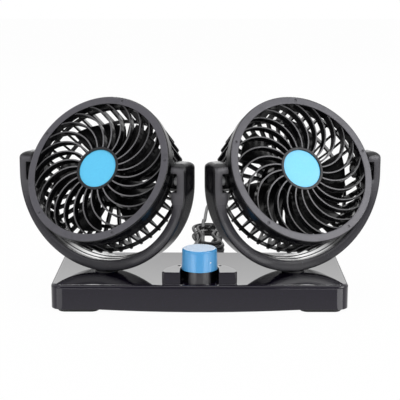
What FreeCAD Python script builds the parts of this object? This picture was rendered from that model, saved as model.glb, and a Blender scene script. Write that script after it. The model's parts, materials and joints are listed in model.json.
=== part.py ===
"""Dual head car fan: two caged propellers in U-shaped yokes on one flat base.

Millimetres, +Z up, -Y towards the user, origin on the table under the middle of the base. The heads are
modelled as they stand in use: turned outward and tipped up. A head's own frame has Z along its propeller
shaft, towards the front, and X along its tilt axis.
"""
import FreeCAD, Part
import math
import os
import re
import Sketcher
from FreeCAD import Vector

SIZES = {
    # base
    "base_width": 210,
    "base_depth": 95,
    "base_height": 17.5,
    "corner_radius": 8.5,
    "edge_radius": 2.2,
    "wall_thick": 2.0,
    "top_thick": 2.2,
    "plate_thick": 1.8,
    "plate_gap": 0.2,
    "lip_span": 140,
    "lip_drop": 1.8,
    "foot_height": 2.2,
    "foot_length": 29,
    "foot_width": 12,
    "foot_round": 5.5,
    "foot_edge": 0.5,
    "foot_inset_x": 4.8,
    "foot_inset_y": 1.8,
    "screw_inset_x": 14,
    "screw_inset_y": 26,
    "screw_radius": 1.5,
    "screw_head_radius": 2.8,
    "screw_head_height": 0.8,
    "screw_length": 10,
    "screw_post_radius": 3.6,
    "relief_radius": 3.4,
    "relief_height": 9.0,
    # knob and its pedestal
    "pedestal_radius": 26.5,
    "pedestal_height": 8.7,
    "pedestal_setback": 3.3,
    "pedestal_round": 2.0,
    "pedestal_edge": 0.6,
    "slot_radius": 13.6,
    "dimple_radius": 1.2,
    "dimple_depth": 0.5,
    "dimple_ring": 16.4,
    "dimple_angle": 26,
    "knob_setback": 14.5,
    "knob_radius": 12.8,
    "knob_draft": 0.4,
    "knob_height": 15.0,
    "knob_round": 1.5,
    "knob_wall": 2.0,
    "knob_boss_radius": 5.0,
    "knob_boss_rise": 1.0,
    "knob_gap": 0.1,
    "collar_radius": 11.1,
    "collar_draft": 0.35,
    "bushing_radius": 4.5,
    "bushing_rise": 6.0,
    "shaft_radius": 3.0,
    "shaft_rise": 13,
    "switch_width": 19,
    "switch_height": 9,
    "switch_round": 1.0,
    "switch_floor": 2.0,
    # yokes and swivels
    "yaw_angle": 24,
    "tip_angle": 30.5,
    "swivel_setback": 43,
    "yoke_gap": 0.9,
    "yoke_thick": 6.0,
    "yoke_drop": 2.3,
    "yoke_depth": 18,
    "arm_height": 13.7,
    "arm_round": 5.0,
    "yoke_edge": 1.2,
    "tongue_round": 6.0,
    "block_depth": 4.6,
    "block_drop": 13,
    "block_foot": 18,
    "window_height": 13.5,
    "window_depth": 12,
    "pin_radius": 3.2,
    "pin_cover": 2.0,
    "swivel_rise": 1.1,
    "swivel_radius": 8.5,
    "swivel_sink": 2.0,
    "washer_thick": 0.5,
    "post_radius": 5.0,
    "post_bore": 3.0,
    "post_drop": 8.0,
    "post_cover": 1.5,
    "nut_radius": 8.5,
    "nut_thick": 3.0,
    "run_fit": 0.05,
    # front grille
    "ring_radius": 55.5,
    "ring_clear": 1.5,
    "ring_front": 14.5,
    "band_width": 5.7,
    "band_thick": 2.0,
    "ring_round": 0.8,
    "skirt_depth": 7.0,
    "skirt_thick": 1.8,
    "lip_depth": 7.2,
    "lip_thick": 1.3,
    "mark_count": 5,
    "mark_radius": 0.9,
    "mark_depth": 0.5,
    "mark_angle": 10,
    "spoke_count": 24,
    "spoke_thick": 1.0,
    "spoke_depth": 6.0,
    "spoke_setback": 1.2,
    "spoke_lean": 37,
    "spoke_root": 0.5,
    "hub_radius": 16.2,
    "hub_rise": -1.0,
    "bezel_width": 1.85,
    "disc_thick": 1.0,
    "disc_recess": 0.8,
    "disc_gap": 0.1,
    # rear cage
    "cage_fit": 0.1,
    "collar_thick": 1.9,
    "flange_height": 2.0,
    "flange_inset": 0.5,
    "cage_depth": 37,
    "cage_rear_radius": 53,
    "rib_count": 20,
    "rib_width": 1.5,
    "rib_thick": 4.0,
    "corner_cut": 1.2,
    "hoop_back": 15.7,
    "hoop_height": 2.2,
    "hoop_thick": 2.2,
    "hoop_inset": 0.8,
    "mid_hoop_radius": 33,
    "pivot_boss_radius": 6.0,
    "pivot_boss_length": 7.2,
    "pivot_gap": 0.3,
    # motor and propeller
    "motor_radius": 12.3,
    "motor_length": 16,
    "motor_gap": 0.1,
    "motor_neck_radius": 3.4,
    "motor_neck_height": 1.3,
    "motor_shaft_radius": 1.0,
    "shaft_grip": 13,
    "cup_setback": 12.5,
    "cup_plate": 2.0,
    "cup_wall": 1.8,
    "cup_seat": 17.5,
    "cover_wall": 1.5,
    "cover_round": 4.0,
    "cover_gap": 1.0,
    "cover_inset": 1.0,
    "motor_screw_ring": 8.0,
    "motor_screw_radius": 1.25,
    "motor_screw_head": 2.3,
    "motor_screw_rise": 1.1,
    "motor_screw_grip": 4.0,
    "motor_round": 1.0,
    "prop_gap": 5.3,
    "prop_hub_radius": 16.5,
    "prop_wall": 1.6,
    "prop_round": 2.0,
    "prop_boss_radius": 3.6,
    "prop_rear_gap": 1.0,
    "tip_gap": 6.8,
    "blade_count": 5,
    "left_blade_turn": 36,
    "right_blade_turn": 60,
    "blade_thick": 1.5,
    "blade_edge": 0.7,
    "blade_camber": 1.3,
    "root_sink": 1.3,
    "root_chord": 18,
    "root_pitch": 46,
    "mid_radius": 29,
    "mid_chord": 33,
    "mid_pitch": 28,
    "mid_sweep": 2,
    "tip_chord": 42,
    "tip_pitch": 18,
    "tip_sweep": 7,
    # cord, its tied hank and its plug
    "relief_length": 15,
    "relief_flange_radius": 4.8,
    "relief_flange_thick": 1.4,
    "relief_end_radius": 2.2,
    "cord_radius": 1.5,
    "hank_x": 6.9,
    "hank_y": 139,
    "hank_run": 62,
    "fold_radius": 9.0,
    "loop_step": 3.7,
    "layer_step": 3.5,
    "waist_draw": 5.0,
    "tie_width": 4.0,
    "tie_thick": 0.8,
    "tie_gap": 0.3,
    "tie_foot_round": 1.8,
    "tie_top_round": 6.0,
    "tie_tail": 11,
    "plug_x": 61,
    "plug_y": 400,
    "plug_turn": -30,
    "plug_radius": 11.5,
    "plug_boot_radius": 2.8,
    "plug_boot_length": 12,
    "plug_boot_end": 4.6,
    "plug_grip_length": 32,
    "plug_shoulder": 5,
    "nose_radius": 10.2,
    "nose_length": 27,
    "nose_round": 2.5,
    "plug_tip_radius": 4.0,
    "plug_tip_length": 7,
    "spring_width": 4.0,
    "spring_thick": 0.6,
    "spring_bow": 2.2,
    "spring_margin": 4.0,
    "spring_slot": 1.2,
    "spring_clear": 0.2,
}

# places worked out from the sizes
BASE_TOP = "(foot_height + base_height)"
BASE_FRONT = "(-base_depth / 2)"
KNOB_Y = "(-base_depth / 2 + knob_setback)"
KNOB_BOTTOM = "(foot_height + base_height + pedestal_height)"
CEILING = "(foot_height + base_height - top_thick)"
BLOCK_IN = "(ring_radius + ring_clear)"
YOKE_IN = "(ring_radius + ring_clear + block_depth)"
YOKE_OUT = "(ring_radius + ring_clear + block_depth + yoke_thick)"
YOKE_LOW = f"({YOKE_OUT} + yoke_drop)"
SWIVEL_X = f"({YOKE_OUT} + yoke_gap)"
SWIVEL_Y = "(-base_depth / 2 + swivel_setback)"
PIVOT_Z = f"({BASE_TOP} + swivel_rise + {YOKE_LOW})"
BAND_IN = "(ring_radius - band_width)"
SKIRT_END = "(ring_front - skirt_depth)"
SPOKE_REAR = "(ring_front - spoke_setback - spoke_depth)"
DISC_SEAT = "(ring_front + hub_rise - disc_recess - disc_thick)"
COLLAR_OUT = "(ring_radius - skirt_thick - cage_fit)"
CAGE_BACK = "(ring_front - cage_depth)"
CUP_OUT = "(motor_radius + motor_gap + cup_wall)"
MOTOR_FACE = "(-cup_setback - cup_plate)"
MOTOR_REAR = f"({MOTOR_FACE} - motor_length - motor_neck_height)"
MOTOR_SHAFT_REAR = f"({MOTOR_FACE} - shaft_grip)"
PROP_FRONT = f"({SPOKE_REAR} - prop_gap)"
PROP_REAR = "(-cup_setback + prop_rear_gap)"
PROP_TIP = f"({BAND_IN} - tip_gap)"

# how far a cutting outline runs past the surface that it cuts
PAST = "1"

doc = FreeCAD.newDocument("dual_head_car_fan")
dims = doc.addObject("Spreadsheet::Sheet", "dims")
for row, (alias, size) in enumerate(SIZES.items(), 1):
    dims.set(f"A{row}", alias)
    dims.set(f"B{row}", str(size))
    dims.setAlias(f"B{row}", alias)
doc.recompute()
subparts = []


def number(text):
    """The present value of an expression of named sizes."""
    return float(dims.evalExpression(text))


def on_sheet(text):
    """The same expression for another object of the document to read from the sheet."""
    return re.sub(r"[a-z_]+", lambda m: f"dims.{m[0]}" if m[0] in SIZES else m[0], text)


def bind(thing, **sizes):
    """Tie properties of a document object to expressions of named sizes."""
    for name, text in sizes.items():
        thing.setExpression(name.replace("__", "."), on_sheet(text))
    return thing


def place(thing, x="0", y="0", z="0", turn="0", tip="0", roll="0"):
    """Stand a sub-part at a point, rolled about its own Z, tipped about X and then turned about Z."""
    spin = f"rotation(vector(0; 0; 1); {turn}) * rotation(vector(1; 0; 0); {tip})"
    spin += f" * rotation(vector(0; 0; 1); {roll})"
    thing.setExpression("Placement", on_sheet(f"placement(vector({x}; {y}; {z}); {spin})"))
    return thing


def keep(thing, label):
    """Name a finished sub-part."""
    thing.Label = label
    subparts.append(thing)
    return thing


def new_body(label):
    body = doc.addObject("PartDesign::Body", label)
    return keep(body, label)


def origin_of(body, role):
    return next(o for o in body.Origin.OriginFeatures if o.Role == role)


def new_sketch(body, role, offset="0"):
    """An empty sketch on one of the body's own planes, moved along the plane's normal."""
    sketch = body.newObject("Sketcher::SketchObject", "sketch")
    sketch.AttachmentSupport = [(origin_of(body, role), "")]
    sketch.MapMode = "FlatFace"
    if offset != "0":
        bind(sketch, AttachmentOffset__Base__z=offset)
    return sketch


def hold_point(sketch, geometry, end, x, y):
    """Tie a sketch point to expressions of named sizes."""
    for text, kind, axis in ((x, "DistanceX", -2), (y, "DistanceY", -1)):
        if text == "0":
            sketch.addConstraint(Sketcher.Constraint("PointOnObject", geometry, end, axis))
        else:
            rule = Sketcher.Constraint(kind, -1, 1, geometry, end, number(text))
            index = sketch.addConstraint(rule)
            sketch.setExpression(f"Constraints[{index}]", on_sheet(text))


def hold_radius(sketch, geometry, text):
    index = sketch.addConstraint(Sketcher.Constraint("Radius", geometry, number(text)))
    sketch.setExpression(f"Constraints[{index}]", on_sheet(text))


def add_outline(sketch, corners):
    """A closed outline. A corner is (x, y), or (x, y, radius, turn) where an arc of that radius runs to
    the next corner, anticlockwise for a turn of 1 and clockwise for -1."""
    first = sketch.GeometryCount
    points = [Vector(number(c[0]), number(c[1]), 0) for c in corners]
    ends = []
    for i, corner in enumerate(corners):
        here, there = points[i], points[(i + 1) % len(points)]
        if len(corner) == 2:
            sketch.addGeometry(Part.LineSegment(here, there))
            ends.append((1, 2))
        else:
            radius, turn = number(corner[2]), corner[3]
            chord = there - here
            rise = math.sqrt(max(radius**2 - chord.Length**2 / 4, 0)) * turn
            side = Vector(-chord.y, chord.x, 0).normalize()
            centre = (here + there) * 0.5 + side * rise
            start, stop = (here, there) if turn > 0 else (there, here)
            angles = [math.atan2(p.y - centre.y, p.x - centre.x) for p in (start, stop)]
            circle = Part.Circle(centre, Vector(0, 0, 1), radius)
            sketch.addGeometry(Part.ArcOfCircle(circle, *angles))
            ends.append((1, 2) if turn > 0 else (2, 1))
    count = len(corners)
    for i, corner in enumerate(corners):
        after = (i + 1) % count
        joint = Sketcher.Constraint("Coincident", first + i, ends[i][1], first + after, ends[after][0])
        sketch.addConstraint(joint)
        hold_point(sketch, first + i, ends[i][0], corner[0], corner[1])
        if len(corner) > 2:
            hold_radius(sketch, first + i, corner[2])
    return sketch


def outline(body, role, corners, offset="0"):
    return add_outline(new_sketch(body, role, offset), corners)


def add_circle(sketch, radius, x="0", y="0"):
    centre = Vector(number(x), number(y), 0)
    index = sketch.addGeometry(Part.Circle(centre, Vector(0, 0, 1), number(radius)))
    hold_point(sketch, index, 3, x, y)
    hold_radius(sketch, index, radius)
    return sketch


def circle(body, role, radius, x="0", y="0", offset="0"):
    return add_circle(new_sketch(body, role, offset), radius, x, y)


def rounded_box(width, depth, radius, x="0", y="0"):
    """The corners of a rectangle with round corners about a point."""
    left, right = f"{x} - {width} / 2", f"{x} + {width} / 2"
    low, high = f"{y} - {depth} / 2", f"{y} + {depth} / 2"
    return [
        (f"{left} + {radius}", low),
        (f"{right} - {radius}", low, radius, 1),
        (right, f"{low} + {radius}"),
        (right, f"{high} - {radius}", radius, 1),
        (f"{right} - {radius}", high),
        (f"{left} + {radius}", high, radius, 1),
        (left, f"{high} - {radius}"),
        (left, f"{low} + {radius}", radius, 1),
    ]


def grow(body, kind, sketch, length, symmetric=False, flip=False):
    """A Pad along the sketch's normal, or a Pocket against it, unless flipped."""
    feature = body.newObject(f"PartDesign::{kind}", kind)
    feature.Profile = sketch
    feature.SideType = "Symmetric" if symmetric else "One side"
    feature.Reversed = flip
    bind(feature, Length=length)
    doc.recompute()
    return feature


def pad(body, sketch, length, **how):
    return grow(body, "Pad", sketch, length, **how)


def pocket(body, sketch, length, **how):
    """A Pocket that has to take something away."""
    before = body.Shape.Volume
    feature = grow(body, "Pocket", sketch, length, **how)
    if not body.Shape.Volume < before:
        raise ValueError(f"a pocket in {body.Label} cuts nothing")
    return feature


def revolve(body, sketch):
    """A full turn about the sketch's upright axis."""
    feature = body.newObject("PartDesign::Revolution", "Revolution")
    feature.Profile = sketch
    feature.ReferenceAxis = (sketch, ["V_Axis"])
    feature.Angle = 360
    doc.recompute()
    return feature


def polar(body, features, count):
    """Repeat features evenly round the body's Z axis."""
    pattern = body.newObject("PartDesign::PolarPattern", "PolarPattern")
    pattern.Originals = features
    pattern.Axis = (origin_of(body, "Z_Axis"), [""])
    pattern.Angle = 360
    bind(pattern, Occurrences=count)
    body.Tip = pattern
    doc.recompute()
    return pattern


def fillet(body, radius, chosen):
    """Round the edges of the body's present shape that the test picks."""
    base = body.Tip
    names = [f"Edge{i}" for i, edge in enumerate(base.Shape.Edges, 1) if chosen(edge)]
    if not names:
        raise ValueError(f"no edge to round in {body.Label}")
    feature = body.newObject("PartDesign::Fillet", "Fillet")
    feature.Base = (base, names)
    bind(feature, Radius=radius)
    doc.recompute()
    return feature


def near(a, b):
    return abs(a - b) < 1e-4


def flat_at(edge, axis, level):
    """Whether an edge lies in the plane where a coordinate has that value."""
    low, high = (getattr(edge.BoundBox, axis + end) for end in ("Min", "Max"))
    return near(low, level) and near(high, level)


def cylinder(name, radius, height):
    return bind(doc.addObject("Part::Cylinder", name), Radius=radius, Height=height)


def cut(name, base, tool):
    feature = doc.addObject("Part::Cut", name)
    feature.Base = base
    feature.Tool = tool
    return feature


def fuse(name, shapes):
    feature = doc.addObject("Part::MultiFuse", name)
    feature.Shapes = shapes
    return feature


def compound(name, links):
    feature = doc.addObject("Part::Compound", name)
    feature.Links = links
    return feature


# Base

SCREW_X = "(base_width / 2 - screw_inset_x)"
SCREW_Y = "(base_depth / 2 - screw_inset_y)"
CORNERS = [(sx, sy) for sx in ("-", "") for sy in ("-", "")]


def add_circles(sketch, radius, x, y):
    """One circle in each quarter of the base."""
    for sx, sy in CORNERS:
        add_circle(sketch, radius, sx + x, sy + y)
    return sketch


def make_base_cover():
    body = new_body("base_cover")
    footprint = rounded_box("base_width", "base_depth", "corner_radius")
    pad(body, outline(body, "XY_Plane", footprint, "foot_height"), "base_height")
    top = number(BASE_TOP)
    fillet(body, "edge_radius", lambda edge: flat_at(edge, "Z", top))
    front = f"{BASE_FRONT} + pedestal_setback"
    half_disc = [
        ("-pedestal_radius", front),
        ("pedestal_radius", front, "pedestal_radius", 1),
        ("0", f"{front} + pedestal_radius", "pedestal_radius", 1),
    ]
    pad(body, outline(body, "XY_Plane", half_disc, BASE_TOP), "pedestal_height")
    ends = number("pedestal_radius")
    tall = number("pedestal_height")
    fillet(
        body,
        "pedestal_round",
        lambda edge: near(abs(edge.CenterOfMass.x), ends) and near(edge.Length, tall),
    )
    slot = [
        ("-slot_radius", f"{BASE_FRONT} - {PAST}"),
        ("slot_radius", f"{BASE_FRONT} - {PAST}"),
        ("slot_radius", KNOB_Y, "slot_radius", 1),
        ("0", f"{KNOB_Y} + slot_radius", "slot_radius", 1),
        ("-slot_radius", KNOB_Y),
    ]
    pocket(body, outline(body, "XY_Plane", slot, KNOB_BOTTOM), "pedestal_height")
    crown = number(KNOB_BOTTOM)
    fillet(body, "pedestal_edge", lambda edge: flat_at(edge, "Z", crown))
    dimples = new_sketch(body, "XY_Plane", KNOB_BOTTOM)
    for side in ("-", ""):
        x = f"{side}dimple_ring * cos(dimple_angle)"
        add_circle(dimples, "dimple_radius", x, f"{KNOB_Y} + dimple_ring * sin(dimple_angle)")
    pocket(body, dimples, "dimple_depth")
    inside = rounded_box(
        "(base_width - 2 * wall_thick)", "(base_depth - 2 * wall_thick)", "(corner_radius - wall_thick)"
    )
    cavity = outline(body, "XY_Plane", inside, "foot_height")
    pocket(body, cavity, "(base_height - top_thick)", flip=True)
    posts = add_circles(
        new_sketch(body, "XY_Plane", "foot_height + plate_thick"), "screw_post_radius", SCREW_X, SCREW_Y
    )
    pad(body, posts, f"{CEILING} - foot_height - plate_thick")
    pilots = add_circles(
        new_sketch(body, "XY_Plane", "foot_height + plate_thick"), "screw_radius", SCREW_X, SCREW_Y
    )
    pocket(body, pilots, "screw_length - plate_thick", flip=True)
    holes = circle(body, "XY_Plane", "bushing_radius + run_fit", "0", KNOB_Y, BASE_TOP)
    for side in ("-", ""):
        add_circle(holes, "post_radius + run_fit", side + SWIVEL_X, SWIVEL_Y)
    pocket(body, holes, "top_thick")
    sag = "((lip_span * lip_span / 4 + lip_drop * lip_drop) / (2 * lip_drop))"
    bow = [
        ("-lip_span / 2", "foot_height", sag, 1),
        ("lip_span / 2", "foot_height"),
    ]
    pad(body, outline(body, "XZ_Plane", bow, "base_depth / 2"), "wall_thick", flip=True)
    exit_hole = circle(body, "XZ_Plane", "relief_radius", "0", "relief_height", "-base_depth / 2")
    pocket(body, exit_hole, "wall_thick", flip=True)


def make_base_plate():
    body = new_body("base_plate")
    inset = "(wall_thick + plate_gap)"
    width, depth = f"(base_width - 2 * {inset})", f"(base_depth - 2 * {inset})"
    footprint = rounded_box(width, depth, f"(corner_radius - {inset})")
    sketch = outline(body, "XY_Plane", footprint, "foot_height")
    add_circles(sketch, "screw_radius + run_fit", SCREW_X, SCREW_Y)
    pad(body, sketch, "plate_thick")


def make_feet():
    for (sx, sy), end in zip(CORNERS, ("front_left", "rear_left", "front_right", "rear_right")):
        body = new_body(f"foot_{end}")
        pad_outline = rounded_box("foot_length", "foot_width", "foot_round")
        pad(body, outline(body, "XY_Plane", pad_outline), "foot_height")
        fillet(body, "foot_edge", lambda edge: flat_at(edge, "Z", 0))
        x = f"{sx}(base_width / 2 - foot_inset_x - foot_length / 2)"
        place(body, x, f"{sy}(base_depth / 2 - foot_inset_y - foot_width / 2)")


def make_base_screws():
    screws = []
    for i, (sx, sy) in enumerate(CORNERS):
        head = cylinder(f"screw_head_{i}", "screw_head_radius", "screw_head_height")
        place(head, z="foot_height - screw_head_height")
        shank = cylinder(f"screw_shank_{i}", "screw_radius", "screw_length")
        place(shank, z="foot_height")
        screws.append(place(fuse(f"screw_{i}", [head, shank]), sx + SCREW_X, sy + SCREW_Y))
    keep(compound("base_screws", screws), "base_screws")


# Knob and switch


def make_knob():
    body = new_body("speed_knob")
    top_radius = "(knob_radius - knob_draft)"
    ceiling = "(knob_height - knob_wall)"
    profile = [
        ("knob_boss_radius", "knob_boss_rise"),
        ("knob_boss_radius", ceiling),
        (f"{top_radius} - knob_wall", ceiling),
        ("knob_radius - knob_wall", "0"),
        ("knob_radius", "0"),
        (top_radius, "knob_height - knob_round", "knob_round", 1),
        (f"{top_radius} - knob_round", "knob_height"),
        ("0", "knob_height"),
        ("0", "shaft_rise"),
        ("shaft_radius", "shaft_rise"),
        ("shaft_radius", "knob_boss_rise"),
    ]
    revolve(body, outline(body, "XZ_Plane", profile))
    place(body, y=KNOB_Y, z=f"{KNOB_BOTTOM} + knob_gap")


def make_switch():
    body = new_body("speed_switch")
    square = rounded_box("switch_width", "switch_width", "switch_round")
    case = outline(body, "XY_Plane", square, "-switch_height")
    pad(body, case, "switch_height")
    pad(body, circle(body, "XY_Plane", "bushing_radius"), "top_thick + bushing_rise")
    bore = circle(body, "XY_Plane", "shaft_radius + run_fit", offset="top_thick + bushing_rise")
    pocket(body, bore, "top_thick + bushing_rise + switch_height - switch_floor")
    place(body, y=KNOB_Y, z=CEILING)

    body = new_body("switch_shaft")
    base = f"({CEILING} - switch_height + switch_floor)"
    pad(body, circle(body, "XY_Plane", "shaft_radius"), f"{KNOB_BOTTOM} + knob_gap + shaft_rise - {base}")
    place(body, y=KNOB_Y, z=base)

    body = new_body("knob_collar")
    profile = [
        ("bushing_radius + run_fit", "0"),
        ("collar_radius", "0"),
        ("collar_radius - collar_draft", "pedestal_height"),
        ("bushing_radius + run_fit", "pedestal_height"),
    ]
    revolve(body, outline(body, "XZ_Plane", profile))
    place(body, y=KNOB_Y, z=BASE_TOP)


# Yokes and swivels

POST_TOP = f"({BASE_TOP} + swivel_rise + yoke_thick + yoke_drop - post_cover)"


def make_yoke(side, sign):
    body = new_body(f"{side}_yoke")
    foot_x = f"sqrt({YOKE_IN} * {YOKE_IN} - block_foot * block_foot)"
    shoulder = "arm_height - arm_round"
    band = [
        ("0", f"-{YOKE_LOW}", YOKE_OUT, 1),
        (YOKE_OUT, "-yoke_drop"),
        (YOKE_OUT, shoulder, "arm_round", 1),
        (f"{YOKE_OUT} - arm_round", "arm_height"),
        (BLOCK_IN, "arm_height"),
        (BLOCK_IN, "-block_drop"),
        (foot_x, "-block_foot", YOKE_IN, -1),
        ("0", f"-{YOKE_IN}", YOKE_IN, -1),
        (f"-{foot_x}", "-block_foot"),
        (f"-{BLOCK_IN}", "-block_drop"),
        (f"-{BLOCK_IN}", "arm_height"),
        (f"-({YOKE_OUT} - arm_round)", "arm_height", "arm_round", 1),
        (f"-{YOKE_OUT}", shoulder),
        (f"-{YOKE_OUT}", "-yoke_drop", YOKE_OUT, 1),
    ]
    pad(body, outline(body, "XZ_Plane", band), "yoke_depth", symmetric=True)
    outer = number(YOKE_OUT)
    fillet(body, "yoke_edge", lambda edge: is_circle(edge, outer))
    tongue = new_sketch(body, "YZ_Plane")
    for end in ("", "-"):
        add_outline(
            tongue,
            [
                (f"{end}yoke_depth / 2", "arm_height - tongue_round", "tongue_round", -1 if end else 1),
                (f"{end}(yoke_depth / 2 - tongue_round)", "arm_height"),
                (f"{end}(yoke_depth / 2 - tongue_round)", f"arm_height + {PAST}"),
                (f"{end}(yoke_depth / 2 + {PAST})", f"arm_height + {PAST}"),
                (f"{end}(yoke_depth / 2 + {PAST})", "arm_height - tongue_round"),
            ],
        )
    pocket(body, tongue, f"2 * ({YOKE_OUT} + {PAST})", symmetric=True)
    windows = new_sketch(body, "XZ_Plane", "yoke_depth / 2")
    for end in ("", "-"):
        add_outline(
            windows,
            [
                (f"{end}({BLOCK_IN} - {PAST})", "-window_height / 2"),
                (f"{end}{YOKE_IN}", "-window_height / 2"),
                (f"{end}{YOKE_IN}", "window_height / 2"),
                (f"{end}({BLOCK_IN} - {PAST})", "window_height / 2"),
            ],
        )
    pocket(body, windows, "window_depth")
    pocket(body, circle(body, "YZ_Plane", "pin_radius"), f"2 * ({YOKE_OUT} - pin_cover)", symmetric=True)
    seat = f"-({YOKE_LOW} + swivel_rise - washer_thick)"
    swivel_boss = circle(body, "XY_Plane", "swivel_radius", offset=seat)
    pad(body, swivel_boss, "swivel_rise - washer_thick + swivel_sink")
    post_hole = circle(body, "XY_Plane", "post_radius", offset=seat)
    pocket(body, post_hole, "swivel_rise - washer_thick + yoke_thick + yoke_drop - post_cover", flip=True)
    place(body, sign + SWIVEL_X, SWIVEL_Y, PIVOT_Z, f"{sign}yaw_angle")


def is_circle(edge, radius):
    return isinstance(edge.Curve, Part.Circle) and near(edge.Curve.Radius, radius)


def make_swivel(side, sign):
    """The hollow post, its washer above the base and its nut under the base top."""
    spot = {"x": sign + SWIVEL_X, "y": SWIVEL_Y}
    post_low = f"({CEILING} - post_drop)"
    post = new_body(f"{side}_swivel_post")
    tube = circle(post, "XY_Plane", "post_radius")
    add_circle(tube, "post_bore")
    pad(post, tube, f"{POST_TOP} - {post_low}")
    place(post, **spot, z=post_low)

    washer = new_body(f"{side}_swivel_washer")
    flat = circle(washer, "XY_Plane", "swivel_radius")
    add_circle(flat, "post_radius")
    pad(washer, flat, "washer_thick")
    place(washer, **spot, z=BASE_TOP)

    hexagon = doc.addObject("Part::Prism", f"{side}_nut_body")
    bind(hexagon, Circumradius="nut_radius", Height="nut_thick")
    hexagon.Polygon = 6
    bore = cylinder(f"{side}_nut_bore", "post_radius", "nut_thick")
    nut = keep(cut(f"{side}_swivel_nut", hexagon, bore), f"{side}_swivel_nut")
    place(nut, **spot, z=f"{CEILING} - run_fit - nut_thick", turn=f"{sign}yaw_angle")


def make_tilt_pins(side, sign):
    length = f"({YOKE_OUT} - pin_cover - {BLOCK_IN} + pivot_gap + pivot_boss_length)"
    pins = []
    for end, name in (("", "a"), ("-", "b")):
        pin = cylinder(f"{side}_pin_{name}", "pin_radius", length)
        pin.setExpression(
            "Placement",
            on_sheet(
                f"placement(vector({end}({YOKE_OUT} - pin_cover); 0; 0);"
                f" rotation(vector(0; 1; 0); {end}(-90)))"
            ),
        )
        pins.append(pin)
    both = keep(compound(f"{side}_tilt_pins", pins), f"{side}_tilt_pins")
    place(both, sign + SWIVEL_X, SWIVEL_Y, PIVOT_Z, f"{sign}yaw_angle")


# Heads


def on_head(thing, sign, roll="0"):
    """Stand a piece of a head, made along its own Z, at the tilt axis."""
    return place(thing, sign + SWIVEL_X, SWIVEL_Y, PIVOT_Z, f"{sign}yaw_angle", "90 - tip_angle", roll)


def spoke_outline(body):
    """One spoke: a thin arc that leaves the hub straight out and bends round to the ring's lip."""
    start = "(hub_radius - spoke_root)"
    rim = f"({BAND_IN} + lip_thick / 2)"
    end_x, end_y = f"({rim} * cos(spoke_lean))", f"({rim} * sin(spoke_lean))"
    run = f"({end_x} - {start})"
    bend = f"(({run} * {run} + {end_y} * {end_y}) / (2 * {end_y}))"
    sides = []
    for side in ("+", "-"):
        radius = f"({bend} {side} spoke_thick / 2)"
        tip = (f"{start} + {radius} * {run} / {bend}", f"{bend} + {radius} * ({end_y} - {bend}) / {bend}")
        sides.append((radius, tip))
    (outer, outer_tip), (inner, inner_tip) = sides
    corners = [
        (start, "-spoke_thick / 2", outer, 1),
        outer_tip,
        (*inner_tip, inner, -1),
        (start, "spoke_thick / 2"),
    ]
    return outline(body, "XY_Plane", corners, "ring_front - spoke_setback")


def make_front_grille(side, sign):
    body = new_body(f"{side}_front_grille")
    ring = [
        (BAND_IN, "ring_front - lip_depth"),
        (BAND_IN, "ring_front"),
        ("ring_radius - ring_round", "ring_front", "ring_round", -1),
        ("ring_radius", "ring_front - ring_round"),
        ("ring_radius", SKIRT_END),
        ("ring_radius - skirt_thick", SKIRT_END),
        ("ring_radius - skirt_thick", "ring_front - band_thick"),
        (f"{BAND_IN} + lip_thick", "ring_front - band_thick"),
        (f"{BAND_IN} + lip_thick", "ring_front - lip_depth"),
    ]
    revolve(body, outline(body, "XZ_Plane", ring))
    spoke = pad(body, spoke_outline(body), "spoke_depth", flip=True)
    polar(body, [spoke], "spoke_count")
    hub = [
        ("0", SPOKE_REAR),
        ("hub_radius", SPOKE_REAR),
        ("hub_radius", "ring_front + hub_rise"),
        ("hub_radius - bezel_width", "ring_front + hub_rise"),
        ("hub_radius - bezel_width", DISC_SEAT),
        ("0", DISC_SEAT),
    ]
    revolve(body, outline(body, "XZ_Plane", hub))
    mark_ring = "(ring_radius - band_width / 2)"
    mark_x, mark_y = f"{mark_ring} * cos(mark_angle)", f"{mark_ring} * sin(mark_angle)"
    mark = circle(body, "XY_Plane", "mark_radius", mark_x, mark_y, "ring_front")
    polar(body, [pocket(body, mark, "mark_depth")], "mark_count")
    on_head(body, sign)

    disc = new_body(f"{side}_centre_disc")
    face = circle(disc, "XY_Plane", "hub_radius - bezel_width - disc_gap", offset=DISC_SEAT)
    pad(disc, face, "disc_thick")
    on_head(disc, sign)


RIB_START = "(ring_radius - flange_inset)"
RIB_TOP = f"({SKIRT_END} - flange_height / 2)"
CORNER_Z = f"({CAGE_BACK} + corner_cut)"


def rib_radius(level):
    """How far out the ribs' outer edge stands at a level between the flange and the rear corner."""
    slope = f"(({RIB_START} - cage_rear_radius) / ({RIB_TOP} - {CORNER_Z}))"
    return f"({RIB_START} - {slope} * ({RIB_TOP} - ({level})))"


def hoop(outside, level):
    """The section of a hoop under the ribs, its outside at a radius and its rear side at a level."""
    return [
        (outside, level),
        (outside, f"{level} + hoop_height"),
        (f"{outside} - hoop_thick", f"{level} + hoop_height"),
        (f"{outside} - hoop_thick", level),
    ]


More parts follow.
